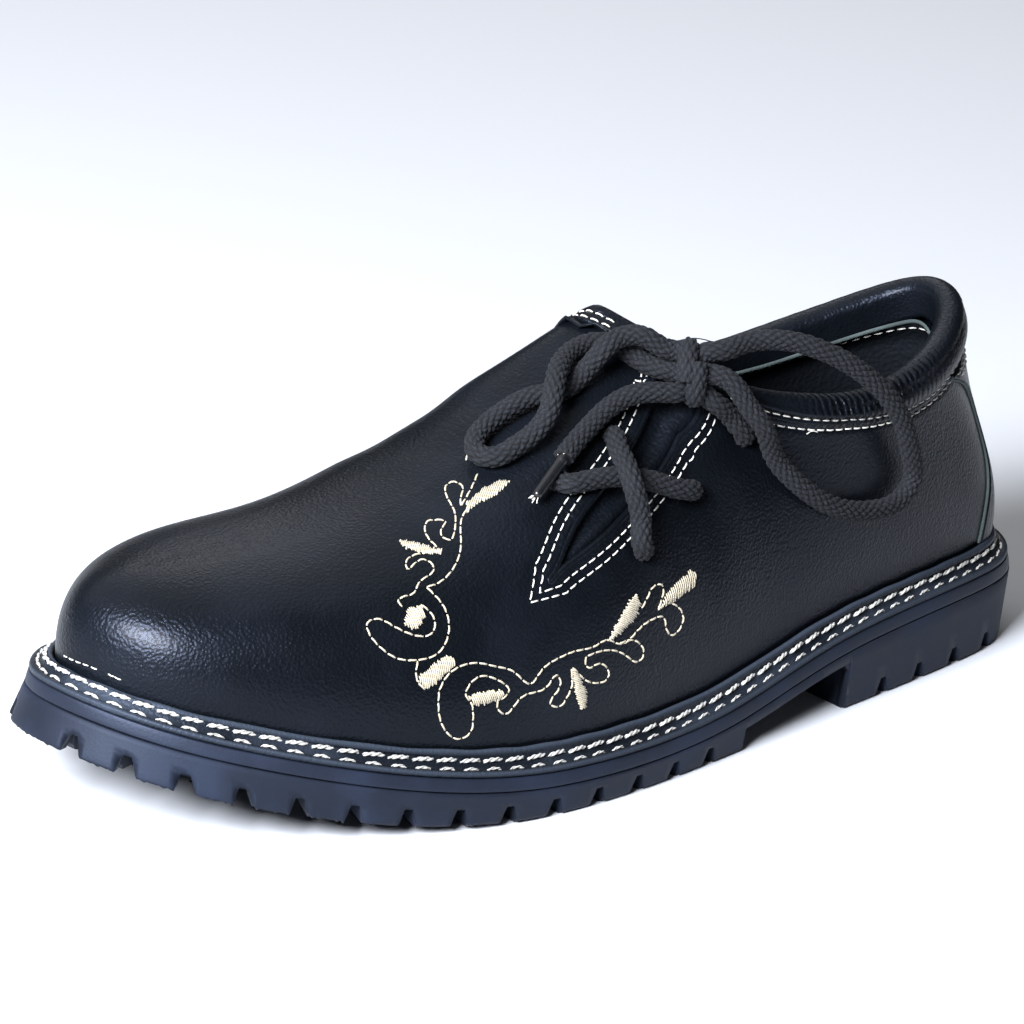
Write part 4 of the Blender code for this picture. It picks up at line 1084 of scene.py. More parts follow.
def skinGrid():
    # grid of way and height share, closer together towards the top; cells inside the throat are
    # left out and the corners round the gap are moved onto the throat's edge
    stations, rows = leather["stations"], leather["rows"]
    way = np.arange(stations) / stations
    share = np.concatenate([[-0.03], 1 - (1 - np.linspace(0, 1, rows)) ** 1.3])
    ways, shares = np.meshgrid(way, share, indexing="ij")
    top = np.array([[innerEdge[-1, 0], 1.3], [outerEdge[-1, 0], 1.3]])
    polygon = np.vstack([innerEdge, top, outerEdge[::-1]]) * sheet
    faces = gridFaces(stations, len(share), closeRows=True)
    middleWay = ways[:, :-1] + 0.5 / stations
    middleShare = (shares[:, :-1] + shares[:, 1:]) / 2
    gone = insidePolygon(np.stack([middleWay, middleShare], axis=-1) * sheet, polygon).ravel()
    kept = faces[~gone]
    edge = np.intersect1d(kept.ravel(), faces[gone].ravel())
    spots = np.stack([ways.ravel()[edge], shares.ravel()[edge]], axis=-1) * sheet
    inner, outer = snapTo(spots, innerEdge * sheet), snapTo(spots, outerEdge * sheet)
    closer = ((spots - inner) ** 2).sum(-1) < ((spots - outer) ** 2).sum(-1)
    ways.ravel()[edge], shares.ravel()[edge] = (np.where(closer[:, None], inner, outer) / sheet).T
    return ways, np.minimum(shares, 1.0), kept


def smoothFlap(points, faces):
    # rounds the fold in front of the flap: each corner moves half way to the mean of its neighbours, by
    # a weight that falls from 1 near the flap to 0; the top edge and the throat's edge stay
    flat = points.reshape(-1, 3)
    pairs = np.concatenate([faces[:, [i, (i + 1) % 4]] for i in range(4)])
    pairs = np.concatenate([pairs, pairs[:, ::-1]])
    count = np.maximum(np.bincount(pairs[:, 0], minlength=len(flat)), 1)[:, None]
    gap = np.linalg.norm(flat - collarPoint(np.zeros(1)), axis=1)
    near, far = leather["flapReach"]
    weight = smoothstep(far, near, gap) * smoothstep(*leather["throatKeep"], nearest(flat, throatLine))
    weight = weight.reshape(points.shape[:2])
    last = int(round(flapWay * leather["stations"]))
    weight[last:leather["stations"] - last + 1, -1] = 0
    seam = np.arange(1, last)
    for _ in range(leather["flapRounds"]):
        ends = flat[pairs[:, 1]].T
        total = np.column_stack([np.bincount(pairs[:, 0], column, len(flat)) for column in ends])
        flat += (total / count - flat) * weight.reshape(-1, 1) * 0.5
        points[seam, -1] = points[-seam, -1] = (points[seam, -1] + points[-seam, -1]) / 2


def rollOver(ways):
    # rolled top edge: half an ellipse from the outside to the inside of the wall, standing up along
    # the edge's own sideways direction, then straight down inside
    ways = np.asarray(ways, float)
    turn = (ways - flapWay) / (1 - 2 * flapWay)
    place, normal = leatherAt(ways, np.ones(len(ways)))
    ahead = unit(collarPoint(turn + 0.002) - collarPoint(turn - 0.002))
    opposite = upperNormal(1 - ways, np.ones(len(ways)))
    blend = (0.5 * (1 - smoothstep(0, 0.03, np.minimum(turn, 1 - turn))))[:, None]
    normal = unit(normal * (1 - blend) + opposite * blend)
    over = unit(np.cross(normal, ahead))
    thick = np.maximum(wallAt(ways, 1.0), leather["flapRoll"])
    angle = np.linspace(0, np.pi, leather["rollRows"])[None, :, None]
    radius = (thick / 2)[:, None, None]
    roll = place[:, None] - normal[:, None] * radius * (1 - np.cos(angle))
    roll = roll + over[:, None] * radius * leather["rollRise"] * np.sin(angle)
    down = np.linspace(0, 1, 7)[1:][None, :, None] * leather["tuck"]
    inside = roll[:, -1:] - over[:, None] * down + normal[:, None] * down * 0.12
    return np.concatenate([roll, inside], axis=1)


def rimWays():
    # stations of the top edge on both sides of the throat
    eachWay = np.arange(leather["stations"]) / leather["stations"]
    spans = ((flapWay, innerEdge[-1, 0]), (outerEdge[-1, 0], 1 - flapWay))
    return [np.concatenate([[first], eachWay[(eachWay > first) & (eachWay < last)], [last]])
            for first, last in spans]


def roundCrest(points):
    # both halves rounded into each other over the crest: each place moves to (before + 2 itself + after)
    # over 4, again and again, less and less towards the flap
    seam = np.arange(1, int(round(flapWay * leather["stations"])) + 1)
    across = np.concatenate([points[seam], points[-seam, -2::-1]], axis=1)
    last = points.shape[1] - 1
    near = np.abs(np.arange(across.shape[1]) - last)[None, :, None] < leather["crestRows"]
    fade = (1 - smoothstep(*leather["crestFade"], seam / seam[-1]))[:, None, None]
    for _ in range(leather["crestRounds"]):
        middle = (across[:, :-2] + 2 * across[:, 1:-1] + across[:, 2:]) / 4
        middle = across[:, 1:-1] * (1 - fade) + middle * fade
        across[:, 1:-1] = np.where(near[:, 1:-1], middle, across[:, 1:-1])
    across[:, last] = (across[:, last - 1] + across[:, last + 1]) / 2
    points[seam], points[-seam] = across[:, :last + 1], across[:, :last - 1:-1]
    points[0, -8:] = (points[1, -8:] + points[-1, -8:]) / 2


def markWear(skin):
    # where the material shows pleats, below the collar's outer stitches, and flex creases, over the toes
    place = np.empty(len(skin.data.vertices) * 3)
    skin.data.vertices.foreach_get("co", place)
    place = place.reshape(-1, 3)
    x, y, z = place.T
    low = smoothstep(0.045, 0.065, x) * smoothstep(0.110, 0.088, x) * (y < 0)
    addValues(skin, "pleats", low * smoothstep(0.0070, 0.0035, nearest(place, rimLine)))
    addValues(skin, "flex", bell(x + 0.030, 0.030) * smoothstep(0.045, 0.065, z))


def addUpper():
    # the skin's grid on the relief, rounded at crest and flap, and the rolled edges joined to its top
    ways, shares, faces = skinGrid()
    points = leatherAt(ways, shares)[0]
    roundCrest(points)
    smoothFlap(points, faces)
    allPoints, allFaces = [points.reshape(-1, 3)], [faces]
    start = len(allPoints[0])
    rolls = [rollOver(part) for part in rimWays()]
    centre = (rolls[0][0] + rolls[1][-1]) / 2
    rolls[0][0] = rolls[1][-1] = centre
    for roll in rolls:
        allFaces.append(gridFaces(*roll.shape[:2], start=start))
        allPoints.append(roll.reshape(-1, 3))
        start += roll.shape[0] * roll.shape[1]
    skin = addPiece("leatherUpper", np.concatenate(allPoints), [np.concatenate(allFaces)], calf, weld=3e-5)
    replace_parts(skin, "upper")
    markWear(skin)
    thicken(skin, leather["thickness"])
    return skin


def addThroatFold():
    # folded edge: a tube just inside both edges of the throat, from one top round the point
    path = np.vstack([innerEdge[::-1], outerEdge[1:]])
    place, normal = leatherAt(path[:, 0], np.minimum(path[:, 1], 1.0), -leather["foldRadius"] * 0.9)
    dense = densify(place, 260)
    out = unit(alongLine(normal, np.linspace(0, 1, len(normal)), np.linspace(0, 1, 260)))
    made = addTubes("throatFold", dense[None], out[None], leather["foldRadius"], calf, sides=12)


upper = addUpper()
addThroatFold()
skinTree = BVHTree.FromPolygons([tuple(v.co) for v in upper.data.vertices],
                                [tuple(p.vertices) for p in upper.data.polygons])
print("upper made")


def stitchPaths(line, normals, pitch, length, lift, dive):
    # stitches one pitch apart, each an arch from under the leather (dive) to over it (lift)
    way = arcLength(line)
    count = max(1, int(round(way[-1] / pitch)))
    share = np.array([0.0, 0.10, 0.32, 0.68, 0.90, 1.0])
    at = (np.arange(count)[:, None] + 0.5) * way[-1] / count + (share - 0.5) * length
    at = np.clip(at, 0, way[-1])
    height = -dive + (lift + dive) * arch(share)
    normal = unit(alongLine(normals, way, at))
    return alongLine(line, way, at) + normal * height[None, :, None], normal


def addStitches(name, lines, thread, pitch=0.0031, length=0.0025, radius=0.00021, lift=0.00016,
                dive=0.0005):
    # all the stitches of several rows as one piece of short tubes
    made = [stitchPaths(line, normals, pitch, length, lift, dive) for line, normals in lines]
    paths = np.concatenate([path for path, _ in made])
    normals = np.concatenate([normal for _, normal in made])
    return addTubes(name, paths, normals, radius, thread)


def rowOnLeather(ways, shares):
    # places and normals of a stitch row on the finished leather
    return leatherAt(np.asarray(ways, float), np.minimum(shares, 1.0))


def smoothed(values, times=6):
    # each value moved to (before + 2 itself + after) over 4, several times; the ends stay
    for _ in range(times):
        values = np.vstack([values[:1], (values[:-2] + 2 * values[1:-1] + values[2:]) / 4, values[-1:]])
    return values


binding = {
    "turns": (-0.085, 0.0435),   # from the inner side of the flap over the crest to the throat
    "thickness": 0.0011,
    "width": 0.0054,
    "edge": 0.0008,              # how far from its lower edge it begins to fall
    "sink": 0.0006,              # how far under the leather that edge lies
    "rows": (0.0017, 0.0038),    # stitch rows under the rim
    "rowWidth": 0.0005,
}


def addBinding():
    # rolled binding round the flap's edge: over the roll as half an ellipse, then down the outside in
    # steps of distance, each place the closest one on the leather, smoothed along the rim
    turn = np.linspace(*binding["turns"], 90)
    rim, ahead = collarPoint(turn), unit(collarPoint(turn + 0.002) - collarPoint(turn - 0.002))
    down = np.linspace(0, binding["width"], 14)
    towardVamp = np.array([-1.0, 0.0, -0.62])
    found = [skinTree.find_nearest(Vector(spot)) for spot in rim + unit(towardVamp) * 0.0025]
    normal = np.array([hit[1] for hit in found], float)
    normal = normal * np.sign(normal[:, 2:])
    normal = unit(smoothed(normal, 60))
    normal = unit(normal - ahead * (normal * ahead).sum(axis=1, keepdims=True))
    over = unit(np.cross(normal, ahead))
    rows = []
    for distance in down:
        found = [skinTree.find_nearest(Vector(spot))[0] for spot in rim - over * distance]
        rows.append(smoothed(np.array(found, float), 10))
    first = rows[0]
    radius = leather["flapRoll"] / 2
    angle = np.radians(np.linspace(165, 20, 10))
    arc = [first - normal * radius + normal * (math.cos(a) * (radius + binding["thickness"]))
           + over * (math.sin(a) * (radius * leather["rollRise"] + binding["thickness"])) for a in angle]
    lift = binding["thickness"] * np.sqrt(np.clip((binding["width"] - down) / binding["edge"], 0, 1))
    for row in binding["rows"]:
        lift = lift - leather["stitchDip"] * bell(down - row, binding["rowWidth"])
    lift[-1] = -binding["sink"]
    outside = [row + normal * height for row, height in zip(rows, lift)]
    points = np.stack(arc + outside, axis=1)
    made = addPiece("flapBinding", points, gridFaces(*points.shape[:2])[:, ::-1], calf)
    thicken(made, leather["thickness"])
    lines = []
    for row in binding["rows"]:
        index = int(np.abs(down - row).argmin())
        lines.append((outside[index][3:-20], normal[3:-20]))
    return lines


def addSeams():
    # two rows under the collar all the way round, two along the flap's binding, two round the throat
    lines = addBinding()
    outerTop = outerEdge[-1, 0]
    lastWay = 1 - flapWay + binding["turns"][0] * (1 - 2 * flapWay) + 0.004
    for row in collarRows:
        ways, shares = rowOnUpper(row, np.linspace(outerTop + 0.002, lastWay, 560))
        lines.append(rowOnLeather(ways, shares))
    for row in throatRows:
        lines.append(rowOnLeather(*(evenly(row * sheet, 500) / sheet).T))
    addStitches("seamStitches", lines, seamThread, lift=0.0003)


addSeams()
print("seams made")


# embroidered vine: outlines in pixels of the photograph, in the order they are sewn
vineLines = (
    ((426, 587), (445, 609), (449, 628), (446, 642), (437, 654), (418, 660), (396, 658), (380, 647),
     (368, 631), (367, 624), (378, 619), (388, 623), (403, 631), (418, 636), (431, 634), (435, 623),
     (429, 611), (420, 604)),
    ((403, 607), (398, 601), (403, 597), (414, 593), (419, 583), (434, 569), (431, 563), (418, 561),
     (407, 569), (406, 563), (412, 556), (439, 550), (426, 534), (427, 522), (437, 520), (446, 522),
     (442, 528), (442, 536), (450, 540), (455, 529), (454, 510), (446, 494), (446, 486), (455, 482),
     (463, 488), (461, 497), (461, 506)),
    ((426, 587), (434, 585), (453, 569), (461, 545), (462, 518), (474, 502)),
    ((461, 506), (471, 489), (478, 473)),
    ((469, 453), (467, 457), (466, 461)),
    ((418, 660), (418, 682), (426, 690)),
    ((439, 691), (439, 714), (445, 730), (458, 739), (471, 731), (473, 719), (469, 700), (467, 698),
     (470, 684), (482, 676), (493, 678), (509, 691), (500, 700)),
    ((439, 691), (447, 676), (461, 666), (477, 663), (498, 667), (514, 672), (530, 684), (541, 671),
     (557, 659), (576, 651), (595, 646), (608, 640), (619, 644), (637, 631), (651, 620), (663, 617),
     (667, 631), (671, 635), (680, 628), (683, 617), (678, 607), (664, 604), (658, 609)),
    ((498, 698), (498, 709), (504, 714), (514, 706), (525, 695), (536, 692), (549, 684), (557, 675),
     (560, 680), (552, 698), (550, 703), (556, 707), (568, 695), (572, 684), (572, 668), (584, 679),
     (597, 683), (607, 679), (607, 668), (597, 664), (589, 668), (585, 660), (592, 654), (616, 651),
     (629, 658), (636, 662), (643, 656), (640, 644), (632, 640), (619, 644)),
    ((641, 609), (648, 596), (656, 585), (662, 585), (663, 593), (658, 609)),
)
# satin leaves: outline in pixels, then the direction the threads run in degrees from level
vineLeaves = (
    (((418, 682), (420, 674), (445, 655), (455, 658), (454, 666), (434, 687), (426, 690)), 100),
    (((422, 605), (407, 608), (404, 623), (411, 630), (418, 630), (425, 617)), 118),
    (((400, 541), (406, 540), (424, 545), (442, 550), (441, 554), (424, 553), (406, 549)), 75),
    (((465, 514), (467, 502), (485, 486), (501, 479), (510, 481), (501, 492), (482, 502)), 70),
    (((469, 698), (474, 706), (487, 705), (504, 698), (502, 690), (485, 691), (471, 694)), 112),
    (((572, 668), (580, 676), (587, 692), (587, 706), (581, 709), (576, 698), (572, 679)), 158),
    (((608, 641), (617, 623), (629, 601), (636, 593), (641, 604), (639, 615), (624, 632)), 152),
    (((658, 609), (670, 588), (691, 569), (696, 575), (694, 588), (675, 601)), 97),
)
embroidery = {
    "pitch": 0.0027,
    "length": 0.0024,
    "radius": 0.00024,
    "lift": 0.00022,
    "satinStep": 1.9,       # pixels between the satin threads, about half a millimetre
    "satinRadius": 0.00022,
    "satinLift": 0.00040,
    "satinDive": 0.00040,   # how far their ends go under the leather
    "ragged": 1.5,          # pixels by which their ends vary
}


def castOnLeather(pixels):
    # place and normal where the sight line through each pixel meets the leather
    right, up, back = cameraAxes()
    origin = Vector(photo["place"])
    offset = (np.array(pixels, float) - photo["pixels"] / 2) / photo["pixels"] * (1, -1)
    aims = unit(offset[:, :1] * right + offset[:, 1:] * up - back * photo["focal"])
    hits = [skinTree.ray_cast(origin, Vector(aim)) for aim in aims]
    kept = [(hit[0], hit[1]) for hit in hits if hit[0] is not None]
    places, normals = (np.array(column, float) for column in zip(*kept))
    facing = np.sign((normals * back).sum(axis=1, keepdims=True))
    return places, normals * facing


def addVineLines():
    # run stitches along the vine's lines, cast through the photograph's camera onto the leather
    lines = []
    for pixels in vineLines:
        points = np.array(pixels, float)
        places, normals = castOnLeather(densify(points, int(arcLength(points)[-1]) + 4))
        lines.append((places, unit(smoothed(normals))))
    made = addStitches("vineStitches", lines, silkThread, embroidery["pitch"], embroidery["length"],
                       embroidery["radius"], embroidery["lift"])


def crossings(polygon, origin, direction):
    # where the line through origin along direction crosses the polygon: lowest and highest share
    start, stop = polygon, np.roll(polygon, -1, axis=0)
    normal = np.array([-direction[1], direction[0]])
    a, b = (start - origin) @ normal, (stop - origin) @ normal
    cut = (a > 0) != (b > 0)
    spots = start[cut] + (stop - start)[cut] * (a[cut] / (a[cut] - b[cut]))[:, None]
    shares = (spots - origin) @ direction
    return (shares.min(), shares.max()) if len(shares) > 1 else None


def addVineLeaves():
    # parallel threads side by side across each leaf, lifted in the middle and diving at both ends
    paths, normals = [], []
    for pixels, angle in vineLeaves:
        outline = np.array(pixels, float)
        direction = np.array([math.cos(math.radians(angle)), -math.sin(math.radians(angle))])
        across = np.array([-direction[1], direction[0]])
        reach = outline @ across
        for offset in np.arange(reach.min() + 0.5, reach.max() - 0.3, embroidery["satinStep"]):
            ends = crossings(outline, across * offset, direction)
            if ends is None:
                continue
            low, high = np.array(ends) + rng.uniform(-1, 1, 2) * embroidery["ragged"]
            share = np.array([0.0, 0.12, 0.35, 0.65, 0.88, 1.0])
            spots = across * offset + (low + (high - low) * share)[:, None] * direction
            places, facing = castOnLeather(spots)
            if len(places) < len(share):
                continue
            facing = unit(np.repeat(facing.mean(axis=0)[None], len(share), axis=0))
            rise = embroidery["satinLift"] + embroidery["satinDive"]
            height = arch(share) * rise - embroidery["satinDive"]
            paths.append(places + facing * height[:, None])
            normals.append(facing)
    made = addTubes("vineLeaves", np.array(paths), np.array(normals), embroidery["satinRadius"], silkThread)


# small things seen on the photograph, in its pixels: a pale cut edge in the throat, a thread's end under
# the collar, and stitch bits that show between the lip and the toe. The cut edge's sight lines pass
# through the throat and meet the far wall, so it lies there
looseBits = {
    "cutEdge": ((659, 469), (668, 455), (676, 443), (684, 431), (691, 421)),
    "threadEnd": ((806, 434), (812, 431), (817, 432)),
    "toeStitches": (((63, 655), (75, 661), (86, 665), (98, 670)), ((108, 674), (121, 680))),
    "edgeRadius": 0.00045,
    "threadRadius": 0.00016,
    "threadLift": 0.0003,
}


def addLooseBits():
    # tubes and stitches along lines of pixels, cast onto the leather
    places, normals = castOnLeather(densify(looseBits["cutEdge"], 30))
    edge = addTubes("throatCutEdge", places[None], unit(smoothed(normals))[None], looseBits["edgeRadius"],
                    cutEdge, sides=8, flatten=0.7)
    places, normals = castOnLeather(densify(looseBits["threadEnd"], 8))
    places = places + normals * looseBits["threadLift"]
    end = addTubes("threadEnd", places[None], normals[None], looseBits["threadRadius"], seamThread)
    lines = [castOnLeather(densify(pixels, 40)) for pixels in looseBits["toeStitches"]]
    made = addStitches("toeStitches", lines, seamThread, pitch=0.0023, length=0.0019, radius=0.00018)


addVineLines()
addVineLeaves()
addLooseBits()
print("vine made")


welt = {
    "stations": 640,
    # profile from the edge inwards to the lip's slope: inset from the sole's edge, height over the top
    "profile": ((0.0009, -0.0014), (0.0008, -0.0008), (0.0009, -0.0003), (0.0012, 0.0), (0.0018, 0.0),
                (0.0023, 0.0), (0.0027, -0.0003), (0.0031, 0.0), (0.0036, 0.0001), (0.0040, 0.0005),
                (0.0043, 0.0010), (0.0047, 0.0012), (0.0048, 0.0019), (0.0050, 0.0024)),
    "innerRow": (0.0047, 0.0016),   # inset and height of the rope-like row on the lip's slope
    "outerRow": (0.0027, 0.0),
    "lipHeight": 0.0042,
    "waviness": 0.00012,      # of the lip's crown
    "pitch": 0.00655,
    "innerLength": 0.0064,
    "outerLength": 0.0046,
    "innerPly": 0.00032,
    "outerPly": 0.00022,
    "twist": 0.0042,          # length of one turn of the plies
    "dive": 0.0007,
}


def bandAt(way, inset, height):
    # point at an inset from the sole's edge and a height over the welt's top
    place = edgeAt(way, inset)
    return np.column_stack([place, weltTop(edgeAt(way, 0.0)[:, 0]) + height])


def addBand(name, rings, material, weld=0.0):
    # closed profile carried round the shoe: rings are in the profile's order
    points = np.stack(rings, axis=1)
    count, across = points.shape[:2]
    faces = gridFaces(count, across, closeRows=True, closeColumns=True)
    return addPiece(name, points, faces, material, weld=weld, turnOut=True)


def addWelt():
    # closed profile: rounded edge, shelf with the outer row's channel, the lip's slope with the inner
    # row's channel, then a crown of part of an ellipse that rounds over into the gap behind it
    way = np.arange(welt["stations"]) / welt["stations"]
    curves = sectionAt(way)
    low = bezier(curves, np.zeros(len(way)))
    high = bezier(curves, lipShare(curves, welt["lipHeight"]))
    outward = outwardAt(way)
    up = np.array([0, 0, 1.0])
    profile = welt["profile"]
    rings = [bandAt(way, inset, height) for inset, height in profile]
    angle = np.radians(np.linspace(-25, 175, 12))
    half = shoe["lipThickness"] / 2
    crown = high + outward * (shoe["gap"] + half) - up * half
    wobble = welt["waviness"] * np.sin(way * 2 * np.pi * 37 + np.sin(way * 2 * np.pi * 5) * 3)
    for turn in angle:
        ring = crown + outward * (half * math.cos(turn)) + up * (half * 1.15 * math.sin(turn))
        rings.append(ring + up * wobble[:, None] * max(0.0, math.sin(turn)))
    rings.append(low + outward * shoe["gap"])
    rings.append(bandAt(way, 0.0045, -0.0014))
    made = addBand("weltStrip", rings, weltLeather)
    # second tone of the welt: a paler band along its rounded outer edge, and a painted highlight along the
    # top of the lip's crown
    paleEdgeAndHighlight = np.zeros((len(way), len(rings)), np.float32)
    paleEdgeAndHighlight[:, 1:4] = 0.5, 0.9, 0.5
    paleEdgeAndHighlight[:, len(profile):len(profile) + 12] = np.clip(np.sin(angle + 0.35), 0, 1) ** 1.5
    addValues(made, "paleEdgeAndHighlight", paleEdgeAndHighlight)
    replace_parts(made, "welt")


def addWeltStitches(name, row, length, ply, slant, lift):
    # two plies twisted round each stitch: the stitch's centre line plus a circle of 3/4 of the ply
    count = int(round(perimeter / welt["pitch"]))
    share = np.linspace(0, 1, 15)
    start = np.arange(count)[:, None] / count
    way = start + share[None, :] * length / perimeter
    lean = slant * (share - 0.5)[None, :] + rng.uniform(-1, 1, (count, 1)) * 0.00010
    flat = bandAt(way.ravel(), 0.0, row[1]).reshape(count, len(share), 3)
    outward = outwardAt(way.ravel()).reshape(flat.shape)
    up = np.array([0, 0, 1.0])
    slope = unit(up + outward * min(1.0, row[1] / 0.0012))
    height = (lift + welt["dive"]) * arch(share) - welt["dive"]
    centre = flat - outward * (row[0] + lean)[..., None] + slope * height[None, :, None]
    phase = rng.uniform(0, 2 * np.pi, (count, 1))
    spin = phase + share[None, :] * length / welt["twist"] * 2 * np.pi
    thin = ply * np.sqrt(np.clip(1 - (2 * share - 1) ** 4, 0.1, 1))
    paths, radii = [], []
    for side in (0, np.pi):
        turn = outward * np.cos(spin + side)[..., None] + up * np.sin(spin + side)[..., None]
        paths.append(centre + turn * (ply * 0.75))
        radii.append(np.repeat(thin[None], count, axis=0))
    paths = np.concatenate(paths)
    made = addTubes(name, paths, np.broadcast_to(up, paths.shape), np.concatenate(radii), weltThread,
                    sides=7)


# inset from the sole's edge and depth under the midsole's top, in order round its section
midsoleProfile = (
    (0.0150, 0.0), (0.0012, 0.0), (0.0008, 0.0001), (0.00070, 0.0003), (0.00045, 0.0012),
    (0.00020, 0.0022), (0.00005, 0.0029), (0.00005, 0.0031), (0.00025, 0.0033), (0.0150, 0.0033),
)


def addMidsole():
    # bevelled band between welt and outsole with softly rounded edges, wide enough to stand on
    way = np.arange(welt["stations"]) / welt["stations"]
    top = -shoe["weltThickness"] - shoe["gap"]
    rings = [bandAt(way, inset, top - depth) for inset, depth in midsoleProfile]
    made = addBand("midsoleBand", rings, midsoleRubber)
    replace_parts(made, "midsole")


addWelt()
addWeltStitches("weltInnerRow", welt["innerRow"], welt["innerLength"], welt["innerPly"], 0.0009, 0.00040)
addWeltStitches("weltOuterRow", welt["outerRow"], welt["outerLength"], welt["outerPly"], 0.0002, 0.00030)
addMidsole()
print("welt and midsole made")


# outsole wall: the notches' first and last way, count, and the tread's sizes in metres
tread = {
    "foreNotches": (0.0199, 0.2782, 14),
    "heelNotches": (0.3830, 0.4746, 5),
    "halfWidthTop": 0.0011,
    "halfWidthFloor": 0.0028,
    "lugDepth": 0.0050,
    "waistFront": 0.025,
    "heelBreast": 0.067,
    "waistThickness": 0.0082,
    "lean": 0.0012,          # how far the wall leans in towards the floor
    "toeFlare": 0.0036,      # how far it stands out instead at the toe
    "teeth": 0.00075,        # depth and width of the fine serration under the lugs
    "toothWidth": 0.0015,
    "skin": 0.0020,
    "proud": 0.00012,
    "stations": 760,
    # rows of the wall: shares of the way from its top to the notches' roof, then up from the floor
    "upperRows": (0.0, 0.03, 0.3, 0.65, 1.0),
    "lowerRows": (0.75, 0.5, 0.25, 0.10, 0.0),
}


def wayAtX(x, inner):
    # way round where the outline passes x, on the outer or on the inner side
    half = outlineWay < 0.5
    pick = ~half if inner else half
    order = np.argsort(outlinePlace[pick][:, 0])
    return np.interp(x, outlinePlace[pick][order, 0], outlineWay[pick][order])


def wallStations():
    # way, kind (0 lug, 1 notch, 2 waist) and sideways shift at the floor of every station; a pair of
    # stations at one way makes each upright edge, and between them come even steps
    centres = np.concatenate([np.linspace(*tread["foreNotches"]), np.linspace(*tread["heelNotches"])])
    centres = np.concatenate([centres, 1 - centres])
    top, floor = tread["halfWidthTop"] / perimeter, tread["halfWidthFloor"] / perimeter
    stations = []
    for centre in centres:
        stations += [(centre - top, 0, 0, top - floor), (centre - top, 1, 1, 0.0), (centre, 0, 1, 0.0),
                     (centre + top, 0, 1, 0.0), (centre + top, 1, 0, floor - top)]
    front, breast = tread["waistFront"], tread["heelBreast"]
    for x, inner, before, after in ((front, False, 0, 2), (breast, False, 2, 0),
                                    (breast, True, 0, 2), (front, True, 2, 0)):
        edge = wayAtX(x, inner)
        stations += [(edge, 0, before, 0.0), (edge, 1, after, 0.0)]
    taken = np.array([row[0] for row in stations])
    for way in np.arange(tread["stations"]) / tread["stations"]:
        if np.abs(taken - way).min() < 0.0004 or np.abs(centres - way).min() < floor + 0.0004:
            continue
        x = edgeAt(np.array([way]), 0.0)[0, 0]
        stations.append((way, 0, 2 if front < x < breast else 0, 0.0))
    stations.sort(key=lambda row: (row[0], row[1]))
    rows = np.array(stations)
    return rows[:, 0], rows[:, 2].astype(int), rows[:, 3]


def addSoleWall():
    # skin of the outsole's side: rows run from its top to the notches' roof and on to the floor, no
    # lower than each station's own end, then back up 2 mm further in; it flares out at the toe, leans in
    # behind it, and its last two rows are serrated by the size of a sine
    way, kind, shift = wallStations()
    x = edgeAt(way, 0.0)[:, 0]
    floor = floorLine(x)
    top = weltTop(x) - shoe["weltThickness"] - shoe["midsole"] - 2 * shoe["gap"]
    roof = floor + tread["lugDepth"]
    end = np.choose(kind, [floor, roof, weltTop(x) - tread["waistThickness"]])
    levels = [top + (roof - top) * share for share in tread["upperRows"]]
    levels += [floor + (roof - floor) * share for share in tread["lowerRows"]]
    side = np.minimum(way, 1 - way)
    behind = smoothstep(0.02, 0.15, side)
    flare = tread["toeFlare"] * (1 - behind) - tread["lean"] * behind
    turn = np.pi * way * perimeter / tread["toothWidth"] + 0.7 * np.sin(way * 90)
    tooth = tread["teeth"] * np.abs(np.sin(turn))
    outer, inner = [], []
    for row, level in enumerate(levels):
        height = np.maximum(level, end)
        down = np.clip((top - height) / (top - floor), 0, 1)
        inset = -flare * down - tread["proud"]
        inset = inset + (0.0003 if row == 0 else 0.0)
        if row >= 8:
            inset = inset + (0.0002, 0.0008)[row - 8] * (kind == 0)
            height = height + tooth * (kind == 0) * (0.3, 1.0)[row - 8]
        moved = way + shift * np.clip((roof - height) / (roof - floor), 0, 1)
        place = edgeAt(moved, 0.0)
        inward = edgeAt(moved, 1.0) - place
        outer.append(np.column_stack([place + inward * inset[:, None], height]))
        inner.append(np.column_stack([place + inward * (inset + tread["skin"])[:, None], height]))
    made = addBand("soleWall", outer + inner[::-1], treadRubber, weld=1e-6)


addSoleWall()
print("sole wall made")


backStrap = {
    "thickness": 0.0010,
    "sink": 0.0005,         # how far its edges lie under the leather
    "fall": 0.0009,         # distance over which they fall to it
    "height": 0.075,        # metres that the whole height share stands for at the heel
    "seam": 0.0026,
    "seamGap": 0.0019,
    "seamDip": 0.0002,
    "top": 0.885,
    "edge": 0.00045,        # radius of the pale cut edge and how high it lies
    "edgeLift": 0.0003,
}


def strapHalf(share):
    # half width of the back strap as a share of the way round: spline through the table
    rows = np.array(strap)
    return spline(rows[:, 0], rows[:, 1], np.clip(share, rows[0, 0], rows[-1, 0]))[0][:, 0]


